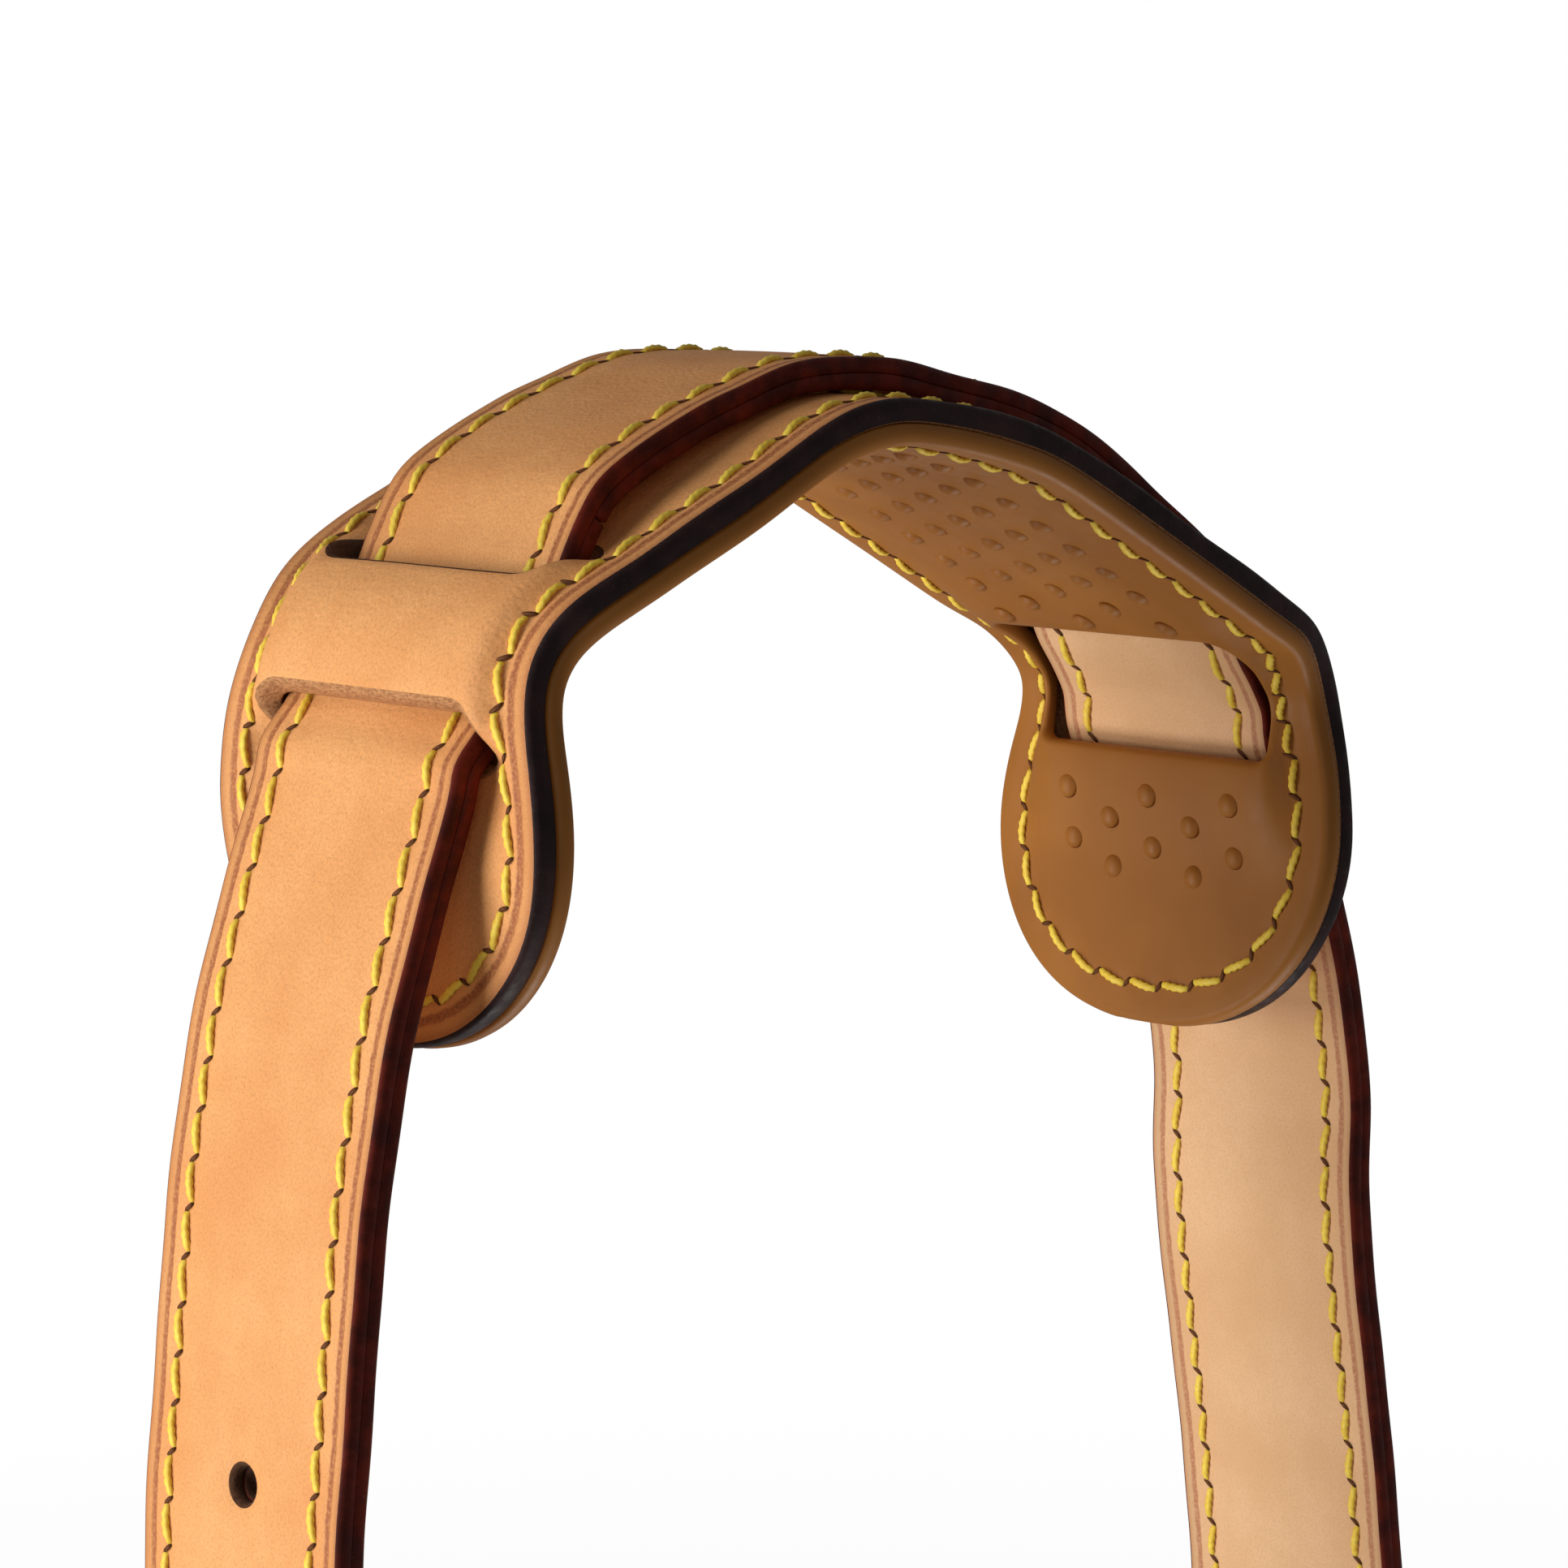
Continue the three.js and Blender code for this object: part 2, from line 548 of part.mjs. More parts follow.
const TAB_FOLD = foldRadius(TAB_LEATHER);
const TAB_HALF = TAB_LEATHER + 0.05;
const [leftEyeX, leftEyeZ] = LEFT_EYE;
const arc = (x, z, radius, angles) =>
  angles.map((angle) => {
    const turn = THREE.MathUtils.degToRad(angle);
    return [x + radius * Math.cos(turn), z + radius * Math.sin(turn)];
  });
const tabPath = new Path([
  [heelX + TAB_HALF, -200.3], [heelX + TAB_HALF, -215],
  [heelX + TAB_HALF + 0.2, -223], [heelX + TAB_FOLD - 0.7, -231],
  ...arc(leftEyeX, leftEyeZ, TAB_FOLD, [-5, -45, -90, -135, -175]),
  [heelX - TAB_FOLD + 0.7, -231], [heelX - TAB_HALF - 0.2, -223],
  [heelX - TAB_HALF, -215], [heelX - TAB_HALF, -198], [heelX - TAB_HALF, -182],
  [heelX - TAB_HALF - 0.2, -174], [heelX - TAB_FOLD + 0.7, -166],
  ...arc(heelX, heelZ, TAB_FOLD, [175, 135, 90, 45, 5]),
  [heelX + TAB_FOLD - 0.7, -166], [heelX + TAB_HALF + 0.2, -174],
  [heelX + TAB_HALF, -182], [heelX + TAB_HALF, -199.7],
]);
const tabRows = tabPath.rows(0, tabPath.length, { turn: 0.2, step: 14 });
const tabStrip = plate(tabPath, tabRows, [-1, 1], -TAB_LEATHER, 0);
const PRONG_SLOT = 6;
const prongSlot = new THREE.BoxGeometry(20, PRONG_SLOT, 15).translate(heelX, 0, heelZ - 0.5);
add("buckle_tab", cut(tabStrip, prongSlot), LEATHER);

const keeperShape = (strapSide, tabSide) => {
  const low = strapSide - KEEPER_LEATHER;
  const high = tabSide + KEEPER_LEATHER;
  const across = STRAP_WIDTH / 2 + CLEARANCE + 0.2;
  const box = (x0, x1, half) => [[x0, -half], [x1, -half], [x1, half], [x0, half]];
  const shape = outline(box(low, high, across + KEEPER_LEATHER), 1.8);
  shape.holes.push(outline(box(strapSide, tabSide, across), 0.6));
  return shape;
};
const KEEPER_TAB_SIDE = heelX + TAB_HALF + CLEARANCE + 0.05;
const keeper = (z) => {
  const strapSide = strapPath.at(strapPath.whereZ(z + KEEPER_HEIGHT / 2))[0] - THREAD_HEIGHT - CLEARANCE;
  return slab(keeperShape(strapSide, KEEPER_TAB_SIDE), KEEPER_HEIGHT, 0.4).translate(0, 0, z);
};
add("keeper_fixed", keeper(FIXED_KEEPER_Z), LEATHER);
add("keeper_sliding", keeper(SLIDING_KEEPER_Z), LEATHER);

// ---------------------------------------------------------------- swivel snap hooks
// Built with the eye's bar on the origin and the hook hanging below it, open towards +X.
const EYE_BORE = 2.4;
const BOSS_TOP = -12;
const BOSS_BOTTOM = -18;
const HOOK_WIDTH = 6.4;
const FORK_SLOT = 3.6;
const PIN_AT = [6.3, -27.5];
const turned = (profile, sides = 20) =>
  new THREE.LatheGeometry(profile.map(([r, h]) => new THREE.Vector2(r, h)), sides).rotateX(Math.PI / 2);

function snapHook(name, [x0, z0], facing) {
  const place = (geometry) => geometry.rotateZ(facing > 0 ? 0 : Math.PI).translate(x0, 0, z0);

  const eyeShape = outline(
    [[-19.3, 1.8], [-19.3, -7.4], [-5.5, -16.5], [5.5, -16.5], [19.3, -7.4], [19.3, 1.8]], 1.6);
  eyeShape.holes.push(
    outline(
      [[-15.7, -1.8], [15.7, -1.8], [15.7, -5.4], [5.2, BOSS_TOP], [-5.2, BOSS_TOP], [-15.7, -5.4]],
      0.6,
    ),
  );
  const boss = turned([
    [0, BOSS_BOTTOM], [4.6, BOSS_BOTTOM], [5.2, BOSS_BOTTOM + 0.7], [5.2, BOSS_TOP], [0, BOSS_TOP],
  ]);
  const bore = turned([[0, -25], [EYE_BORE, -25], [EYE_BORE, -5], [0, -5]]);
  const eye = cut(join(upright(slab(eyeShape, BAR, BAR_BEVEL)), boss), bore);
  add(`${name}_eye`, place(eye), BRASS);

  const body = new THREE.Shape();
  body.moveTo(-5, -20.5);
  body.lineTo(5.5, -20.5);
  body.quadraticCurveTo(9.6, -21, 9.6, -24.5);
  body.lineTo(9.6, -29.3);
  body.lineTo(3.0, -29.3);
  body.lineTo(1.0, -27);
  body.lineTo(-3.6, -27);
  body.quadraticCurveTo(-5, -27, -5, -29);
  body.lineTo(-5, -44.5);
  body.quadraticCurveTo(-5, -47.5, -3, -47.5);
  body.lineTo(3, -47.5);
  body.quadraticCurveTo(5.4, -47.5, 5.4, -44.5);
  body.lineTo(5.4, -39.5);
  body.quadraticCurveTo(6.2, -37.6, 8.2, -38.2);
  body.quadraticCurveTo(9.6, -39, 9.6, -42);
  body.lineTo(9.6, -44.5);
  body.quadraticCurveTo(9.6, -52, 0, -52);
  body.quadraticCurveTo(-9.6, -52, -9.6, -44.5);
  body.lineTo(-9.6, -26.5);
  body.quadraticCurveTo(-9.6, -20.5, -5, -20.5);
  const plateBody = slab(body, HOOK_WIDTH, 0.8, 4).rotateX(Math.PI / 2);
  const shank = turned(
    [
      [0, -20.6], [4.4, -20.6], [4.4, -18.4], [2.0, -18.4], [2.0, -11.6], [4.2, -11.6], [4.2, -10.4],
      [2.8, -9.2], [0, -9.2],
    ]);
  const forkSlot = new THREE.BoxGeometry(8.4, FORK_SLOT, 7).translate(5.6, 0, -26.8);
  const pinBore = new THREE.CylinderGeometry(0.95, 0.95, 10, 14).translate(PIN_AT[0], 0, PIN_AT[1]);
  add(`${name}_body`, place(cut(join(plateBody, shank), forkSlot, pinBore)), BRASS);

  const GATE_WIDTH = 2.0;
  const GATE_Y = -0.65;
  const gate = new THREE.Shape();
  gate.moveTo(5.0, -41.4);
  gate.lineTo(5.0, -39.2);
  gate.quadraticCurveTo(5.7, -37.0, 8.0, -37.6);
  gate.lineTo(8.6, -29.5);
  gate.lineTo(8.3, -26.6);
  gate.quadraticCurveTo(8.0, -25.5, 6.3, -25.4);
  gate.quadraticCurveTo(4.4, -25.6, 4.2, -27.5);
  gate.lineTo(2.6, -31);
  gate.lineTo(2.6, -41.4);
  gate.closePath();
  const gateBore = new THREE.CylinderGeometry(1.2, 1.2, 10, 14).translate(PIN_AT[0], 0, PIN_AT[1]);
  const gateBody = slab(gate, GATE_WIDTH, 0.3).rotateX(Math.PI / 2).translate(0, GATE_Y, 0);
  add(`${name}_gate`, place(cut(gateBody, gateBore)), BRASS);

  const pin = new THREE.CylinderGeometry(0.9, 0.9, HOOK_WIDTH - 0.4, 14).translate(PIN_AT[0], 0, PIN_AT[1]);
  add(`${name}_gate_pin`, place(pin), STEEL);

  class Coil extends THREE.Curve {
    getPoint(t) {
      const turn = t * 2.25 * 2 * Math.PI;
      const y = 0.72 + t * 0.8;
      return new THREE.Vector3(PIN_AT[0] + 1.35 * Math.cos(turn), y, PIN_AT[1] + 1.35 * Math.sin(turn));
    }
  }
  const wire = new THREE.Shape();
  for (let k = 0; k < 4; k++) {
    const turn = (k * Math.PI) / 2;
    wire[k ? "lineTo" : "moveTo"](0.16 * Math.cos(turn), 0.16 * Math.sin(turn));
  }
  const spring = new THREE.ExtrudeGeometry(wire, { extrudePath: new Coil(), steps: 27, bevelEnabled: false });
  add(`${name}_gate_spring`, place(spring), STEEL);
}
snapHook("left_hook", LEFT_EYE, -1);
snapHook("right_hook", RIGHT_EYE, 1);

export default model;
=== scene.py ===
"""Looks for a leather bag strap and its shoulder pad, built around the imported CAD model.

Lengths are in millimetres until a mesh is made, which turns them into metres. A leather or rubber sheet
is described on the flat: "s" runs along a path in the XZ plane, "y" across it, and "h" is the height above
the path, out of the arch.
"""

import math

import bmesh
import bpy
import numpy as np
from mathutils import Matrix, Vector
from mathutils.geometry import delaunay_2d_cdt

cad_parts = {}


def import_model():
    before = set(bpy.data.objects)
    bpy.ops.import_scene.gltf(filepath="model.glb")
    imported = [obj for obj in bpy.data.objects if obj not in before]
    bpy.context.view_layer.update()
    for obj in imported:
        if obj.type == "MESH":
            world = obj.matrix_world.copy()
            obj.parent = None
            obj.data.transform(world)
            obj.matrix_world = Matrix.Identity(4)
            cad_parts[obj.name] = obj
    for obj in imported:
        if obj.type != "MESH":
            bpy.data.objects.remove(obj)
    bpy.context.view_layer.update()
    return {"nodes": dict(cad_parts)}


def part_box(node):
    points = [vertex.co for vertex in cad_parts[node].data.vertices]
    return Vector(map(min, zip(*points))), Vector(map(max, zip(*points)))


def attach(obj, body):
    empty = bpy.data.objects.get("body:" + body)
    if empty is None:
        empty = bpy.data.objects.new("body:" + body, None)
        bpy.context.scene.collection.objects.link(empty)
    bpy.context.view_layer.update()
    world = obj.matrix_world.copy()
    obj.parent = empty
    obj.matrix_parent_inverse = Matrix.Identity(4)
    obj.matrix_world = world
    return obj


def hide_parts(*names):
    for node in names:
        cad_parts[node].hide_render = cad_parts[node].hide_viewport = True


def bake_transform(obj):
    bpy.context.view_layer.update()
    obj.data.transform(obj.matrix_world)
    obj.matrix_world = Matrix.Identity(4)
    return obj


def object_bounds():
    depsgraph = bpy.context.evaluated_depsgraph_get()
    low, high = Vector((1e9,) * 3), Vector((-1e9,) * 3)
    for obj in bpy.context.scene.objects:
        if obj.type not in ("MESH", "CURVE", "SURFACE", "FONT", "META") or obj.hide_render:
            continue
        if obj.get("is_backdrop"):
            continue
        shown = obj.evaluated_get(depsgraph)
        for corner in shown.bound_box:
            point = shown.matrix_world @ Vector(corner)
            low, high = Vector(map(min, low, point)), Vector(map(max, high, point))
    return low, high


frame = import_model()
MM = 0.001

# ---------------------------------------------------------------- dimensions, mostly the CAD model's
STRAP_HALF = 15.0
LAYER = 1.6
STRAP_THICKNESS = 3.3
STITCH_INSET = 4.0
STITCH_PITCH = 4.68
THREAD_RADIUS = 0.43
CREASE_INSET = 1.8
PAD_CREASE_INSET = 2.4
CLEARANCE = 0.5

PAD_HALF = 24.3
PAD_WAIST = 2.8
PAD_WAIST_AT = 38.0
PAD_WAIST_REACH = 10.0
PAD_TIP_POWER = 2.3
PAD_LEATHER = 2.4
PAD_LINER = 2.3
TONGUE = 27.5
LOWER_SLOT_END = 32.3
BRIDGE_END = 47.0
UPPER_SLOT_END = 54.5
WINDOW_START = 29.8
WINDOW_END = 54.5
BRIDGE_LIFT = 1.7
TONGUE_DIP = 2.4
ARCH_DIP = 1.5
DIP_REACH = 11.0
NUB_COLUMN_STEP = 5.9
NUB_ROW_STEP = 2.8

HOLE_RADIUS = 1.7
HOLE_PITCH = 27.0
FIRST_HOLE_Z = -95.0
TIP_TAPER = 13.0
TAB_LEATHER = 2.0
KEEPER_LEATHER = 1.6
HEEL_BAR = (-59.8, -161.0)
LEFT_EYE = (-59.8, -236.0)
RIGHT_EYE = (87.5, -236.0)
STRAP_FOLD = 1.8 + 0.6 + STRAP_THICKNESS
TAB_FOLD = 1.8 + 0.6 + TAB_LEATHER


def smoothstep(x):
    x = np.clip(x, 0.0, 1.0)
    return x * x * (3 - 2 * x)


def level(points):
    return np.zeros(len(points))


def unit(vectors):
    return vectors / np.maximum(np.linalg.norm(vectors, axis=1)[:, None], 1e-9)


def lengths_along(line):
    """How far along a line of flat points each of them is."""
    return np.concatenate([[0], np.cumsum(np.hypot(*np.diff(line, axis=0).T))])


def read_off(at, along, table):
    """The rows of a two-column table at some lengths, between the lengths that its rows are at."""
    return np.column_stack([np.interp(at, along, table[:, k]) for k in (0, 1)])


# ---------------------------------------------------------------- paths
class Path:
    """A smooth line in the XZ plane, measured along its length. Its normal points out of the arch."""

    STEP = 0.1

    def __init__(self, points, smooth=1.0):
        p = np.array(points, float)
        last = len(p) - 1
        line = []
        t = np.linspace(0, 1, 200, endpoint=False)[:, None]
        for i in range(last):
            a, b, c, d = p[max(i - 1, 0)], p[i], p[i + 1], p[min(i + 2, last)]
            cubic = -a + 3 * b - 3 * c + d
            line.append(0.5 * (2 * b + (c - a) * t + (2 * a - 5 * b + 4 * c - d) * t**2 + cubic * t**3))
        line = np.vstack(line + [p[-1:]])
        along = lengths_along(line)
        self.length = along[-1]
        self.s = np.linspace(0, self.length, int(self.length / self.STEP) + 1)
        self.xz = self.softened(read_off(self.s, along, line), smooth)
        self.tangent = unit(self.softened(np.gradient(self.xz, axis=0), 1.2))

    def softened(self, values, sigma):
        reach = int(4 * sigma / self.STEP)
        kernel = np.exp(-0.5 * (np.arange(-reach, reach + 1) * self.STEP / sigma) ** 2)
        kernel /= kernel.sum()
        before = 2 * values[0] - values[reach:0:-1]
        after = 2 * values[-1] - values[-2 : -reach - 2 : -1]
        padded = np.vstack([before, values, after])
        return np.column_stack([np.convolve(padded[:, k], kernel, "valid") for k in (0, 1)])

    def frame_at(self, s):
        """The point, the direction along and the normal at lengths s, as rows of (x, z)."""
        along = unit(read_off(s, self.s, self.tangent))
        return read_off(s, self.s, self.xz), along, np.column_stack([-along[:, 1], along[:, 0]])

    def place(self, s, y, h):
        """World points in millimetres, one row each."""
        s, y, h = np.broadcast_arrays(np.asarray(s, float), y, h)
        point, _, normal = self.frame_at(s.ravel())
        xz = point + normal * h.ravel()[:, None]
        return np.column_stack([xz[:, 0], y.ravel(), xz[:, 1]])

    def where_z(self, z):
        """The length at which the path first reaches a height."""
        height = self.xz[:, 1] - z
        return self.s[np.argmax(np.sign(height) != np.sign(height[0]))]

    def nearest(self, x, z):
        return self.s[np.argmin(np.hypot(self.xz[:, 0] - x, self.xz[:, 1] - z))]


pad_path = Path(
    [
        (-46.6, -55.5), (-46.1, -44), (-46.4, -32), (-46.1, -23.5), (-44.0, -17.2), (-39.6, -12.3),
        (-31.4, -7.7), (-21.2, -3.0), (-10.5, 2.4), (-2.5, 4.5), (5, 4.2), (15.1, 2.2), (24, -0.8),
        (39.3, -8.8), (53.8, -16.7), (61.6, -21.0), (66.4, -27), (67.8, -33.5), (67.1, -42), (65.8, -54),
        (64.2, -66.5),
    ]
)
PAD_LENGTH = pad_path.length


def over_pad(distance, height):
    x, _, z = pad_path.place(distance, 0, height)[0]
    return x, z


def arc(centre, radius, angles):
    return [
        (centre[0] + radius * math.cos(math.radians(a)), centre[1] + radius * math.sin(math.radians(a)))
        for a in angles
    ]


UNDER = BRIDGE_LIFT - PAD_LEATHER - CLEARANCE - 0.2
ON = STRAP_THICKNESS + CLEARANCE
half_over = [
    (24.8, 2.65), (28, 1.75), (LOWER_SLOT_END, UNDER), (37, UNDER - 0.3), (42, UNDER - 0.7),
    (BRIDGE_END, UNDER - 0.4), (51, 0.8), (UPPER_SLOT_END, 3.05),
]
middle_over = [
    (58, 4.6), (64, 5.3), (70, 5.0), (76, 4.2), (84, ON), (94, ON + 0.2), (103, ON + 0.2), (112, 4.8),
    (121, 5.8), (130, 5.5), (138, 4.6), (146, 3.8),
]
strap_path = Path(
    [
        (-65.9, -218), (-65.9, -200), (-66.0, -184), (-67.1, -173), (-68.2, -161.5), (-64.9, -148.5),
        (-61.3, -141.5), (-60.8, -137), (-61.5, -129), (-62.8, -119), (-63.2, -110), (-63, -100),
        (-61.6, -85.7), (-59.6, -68), (-56.4, -52), (-52.7, -40.8),
    ]
    + [over_pad(d, h) for d, h in half_over + middle_over]
    + [over_pad(PAD_LENGTH - d, h) for d, h in reversed(half_over)]
    + [
        (75.0, -49.5), (79.3, -63), (81.3, -75), (81.4, -86), (83.0, -98), (86, -115), (88.4, -133),
        (90.2, -155), (90.9, -180), (90.9, -212), (91.6, -224),
    ]
    + arc(RIGHT_EYE, STRAP_FOLD, [0, -45, -90, -135, -180])
    + [(83.4, -224), (84.1, -214), (84.1, -203)],
    smooth=0.7,
)


# ---------------------------------------------------------------- flat outlines
def inside(points, polygon):
    """Which points lie inside a closed polygon."""
    x, y = points[:, 0][:, None], points[:, 1][:, None]
    x0, y0 = polygon[:, 0], polygon[:, 1]
    x1, y1 = np.roll(x0, -1), np.roll(y0, -1)
    crosses = (y0 > y) != (y1 > y)
    with np.errstate(divide="ignore", invalid="ignore"):
        hit = x < (x1 - x0) * (y - y0) / (y1 - y0) + x0
    return (crosses & hit).sum(axis=1) % 2 == 1


def least(points, offsets, batch=2000):
    """The shortest of each point's offsets, worked out a batch of points at a time."""
    lengths = [np.zeros(0)]
    for start in range(0, len(points), batch):
        lengths.append(np.linalg.norm(offsets(points[start : start + batch, None, :]), axis=2).min(1))
    return np.concatenate(lengths)


def gap_to(points, polygon):
    """Each point's distance to a closed polygon's line."""
    side = np.roll(polygon, -1, axis=0) - polygon

    def offsets(p):
        t = np.clip(((p - polygon) * side).sum(2) / np.maximum((side**2).sum(1), 1e-12), 0, 1)
        return p - (polygon + t[..., None] * side)

    return least(points, offsets)


def from_border(outline):
    return lambda points: gap_to(points, outline)


def shifted(polygon, distance):
    """The polygon moved inwards by a distance, or outwards where it is negative. It runs anticlockwise."""
    one = unit(polygon - np.roll(polygon, 1, axis=0))
    two = unit(np.roll(polygon, -1, axis=0) - polygon)
    normal = unit(np.column_stack([-(one + two)[:, 1], (one + two)[:, 0]]))
    cosine = np.clip((normal * np.column_stack([-one[:, 1], one[:, 0]])).sum(1), 0.4, 1)
    return polygon + normal * (distance / cosine)[:, None]


def even(polygon, spacing):
    """A closed polygon with its points spread evenly."""
    ring = np.vstack([polygon, polygon[:1]])
    along = lengths_along(ring)
    count = max(8, round(along[-1] / spacing))
    return read_off(np.arange(count) * along[-1] / count, along, ring)


def rounded_box(s0, s1, half, radii):
    """A box on the flat with a radius for its low-s and its high-s corners."""
    low, high = radii
    points = []
    for cs, cy, r, start in (
        (s0 + low, -half + low, low, 180),
        (s1 - high, -half + high, high, 270),
        (s1 - high, half - high, high, 0),
        (s0 + low, half - low, low, 90),
    ):
        points += arc((cs, cy), r, [start + k * 90 / 8 for k in range(9)])
    return even(np.array(points), 0.6)


def circle(s, y, radius, stretch=1.0, count=28):
    a = np.arange(count) * 2 * math.pi / count
    return np.column_stack([s + radius * stretch * np.cos(a), y + radius * np.sin(a)])


# ---------------------------------------------------------------- sheets
def new_object(name, verts, faces, materials, face_materials=None):
    mesh = bpy.data.meshes.new(name)
    mesh.from_pydata((np.asarray(verts) * MM).tolist(), [], faces)
    for m in materials:
        mesh.materials.append(m)
    if face_materials is not None:
        mesh.polygons.foreach_set("material_index", np.asarray(face_materials, np.int32))
    mesh.polygons.foreach_set("use_smooth", np.ones(len(mesh.polygons), bool))
    mesh.update()
    thing = bpy.data.objects.new(name, mesh)
    bpy.context.scene.collection.objects.link(thing)
    return thing


def outward(thing):
    """Turns every face of closed bodies to face outwards."""
    made = bmesh.new()
    made.from_mesh(thing.data)
    bmesh.ops.recalc_face_normals(made, faces=made.faces)
    made.to_mesh(thing.data)
    made.free()
    return thing


def tube_faces(rings, around, base=0):
    """Faces between rings of points that follow one another, with both ends closed."""
    faces = []
    for r in range(rings - 1):
        for j in range(around):
            a, b = base + r * around + j, base + r * around + (j + 1) % around
            faces.append([a, b, b + around, a + around])
    last = base + (rings - 1) * around
    return faces + [[base + j for j in reversed(range(around))], [last + j for j in range(around)]]


def tube_points(line, up, size, phi, squash=1.0):
    """Rings of points round a line. size is a radius, or one for each point of each ring."""
    forward = unit(np.gradient(line, axis=0))
    aside = unit(np.cross(forward, up))
    over = np.cross(aside, forward)[:, None, :] * (squash * np.sin(phi))[None, :, None]
    section = aside[:, None, :] * np.cos(phi)[None, :, None] + over
    return (line[:, None, :] + np.asarray(size)[..., None] * section).reshape(-1, 3)


def triangles_between(loops, points):
    """Triangles over the first loop's inside, round the other loops, through the points."""
    allpoints = np.vstack(loops + [points]) if len(points) else np.vstack(loops)
    edges, start = [], 0
    for loop in loops:
        n = len(loop)
        edges += [(start + k, start + (k + 1) % n) for k in range(n)]
        start += n
    result = delaunay_2d_cdt([Vector(p) for p in allpoints], edges, [], 0, 1e-6, True)
    origin = np.array([o[0] if o else -1 for o in result[3]])
    faces = origin[np.array(result[2])]
    faces = faces[(faces >= 0).all(axis=1)]
    middle = allpoints[faces].mean(axis=1)
    keep = inside(middle, loops[0])
    for hole in loops[1:]:
        keep &= ~inside(middle, hole)
    faces = faces[keep]
    a, b, c = (allpoints[faces[:, k]] for k in range(3))
    turn = (b[:, 0] - a[:, 0]) * (c[:, 1] - a[:, 1]) - (b[:, 1] - a[:, 1]) * (c[:, 0] - a[:, 0])
    faces[turn < 0] = faces[turn < 0][:, ::-1]
    return allpoints, faces[np.abs(turn) > 1e-9]


def mesh_points(outline, holes, insets, spacing, inner, keep=0.35):
    """Points for a sheet: rings along its edge at the given insets, and a grid inside the last of them."""
    rings = [even(shifted(outline, d), spacing) for d in insets]
    low, high = outline.min(axis=0), outline.max(axis=0)
    s = np.arange(low[0], high[0], inner[0])
    y = np.linspace(-1, 1, 2 * round(high[1] / inner[1]) + 1) * high[1]
    grid = np.array(np.meshgrid(s, y, indexing="ij")).reshape(2, -1).T
    grid = grid[inside(grid, outline)]
    grid = grid[gap_to(grid, outline) > (insets[-1] if insets else 0) + 0.6 * min(inner)]
    return clear_of(np.vstack(rings + [grid]), holes, keep)


def clear_of(points, holes, keep):
    for hole in holes:
        bad = np.abs(points[:, 0] - hole[:, 0].mean()) < np.ptp(hole[:, 0]) / 2 + 3
        near = points[bad]
        bad[bad] = inside(near, hole) | (gap_to(near, hole) < keep + 0.45)
        points = points[~bad]
    return points


class Sheet:
    """A closed sheet with openings. "wall" lists the edge's (inset, share of the thickness) from the top."""

    def __init__(
        self, path, outline, holes, low, high, wall, top_points, bottom_points,
        hole_bevel=0.0, crease=CREASE_INSET,
    ):
        self.path, self.low, self.high, self.wall = path, low, high, wall
        self.outline, self.holes, self.hole_bevel, self.crease = outline, holes, hole_bevel, crease
        self.points = [top_points, bottom_points]

    def loops(self, inset, share):
        bevelled = inset + self.hole_bevel * (1 - share)
        return [shifted(self.outline, inset)] + [shifted(h, -bevelled) for h in self.holes]

    def build(self, name, materials, top_lift, bottom_lift, bands, hole_bands=None):
        """bands: the material of the top, each wall band and the bottom. hole_bands: the same, per hole."""
        edge_bands = [bands] + (hole_bands or [bands] * len(self.holes))
        verts, insets, flat, faces, looks = [], [], [], [], []
        thick = self.high - self.low

        def put(points, share):
            lift = top_lift(points) * (1 - share) + bottom_lift(points) * share
            base = sum_of(verts)
            verts.append(self.path.place(points[:, 0], points[:, 1], self.high - thick * share + lift))
            insets.append(gap_to(points, self.outline) * CREASE_INSET / self.crease)
            flat.append(points)
            return base

        top, top_faces = triangles_between(self.loops(*self.wall[0]), self.points[0])
        starts = [put(top, 0.0)]
        faces += (top_faces + starts[0]).tolist()
        looks += [bands[0]] * len(top_faces)
        for inset, share in self.wall[1:-1]:
            starts.append(put(np.vstack(self.loops(inset, share)), share))
        bottom, bottom_faces = triangles_between(self.loops(*self.wall[-1]), self.points[1])
        starts.append(put(bottom, 1.0))
        faces += (bottom_faces[:, ::-1] + starts[-1]).tolist()
        looks += [bands[-1]] * len(bottom_faces)
        for band in range(len(self.wall) - 1):
            up, down = starts[band], starts[band + 1]
            offset = 0
            for which, loop in enumerate([self.outline] + self.holes):
                n = len(loop)
                for k in range(n):
                    a, b = offset + k, offset + (k + 1) % n
                    quad = [up + a, down + a, down + b, up + b]
                    faces.append(quad[::-1] if which else quad)
                looks += [edge_bands[which][band + 1]] * n
                offset += n
        thing = new_object(name, np.vstack(verts), faces, materials, looks)
        mark(thing, np.concatenate(insets), np.vstack(flat))
        return thing


def mark(thing, insets, flat):
    """Stores each point's distance from the edge, and its flat place as a UV map in centimetres."""
    attribute = thing.data.attributes.new("inset", "FLOAT", "POINT")
    attribute.data.foreach_set("value", insets.astype(np.float32))
    uv = thing.data.uv_layers.new(name="flat")
    index = np.empty(len(thing.data.loops), np.int32)
    thing.data.loops.foreach_get("vertex_index", index)
    uv.data.foreach_set("uv", (flat[index] / 10).astype(np.float32).ravel())


def sum_of(blocks):
    return sum(len(b) for b in blocks)


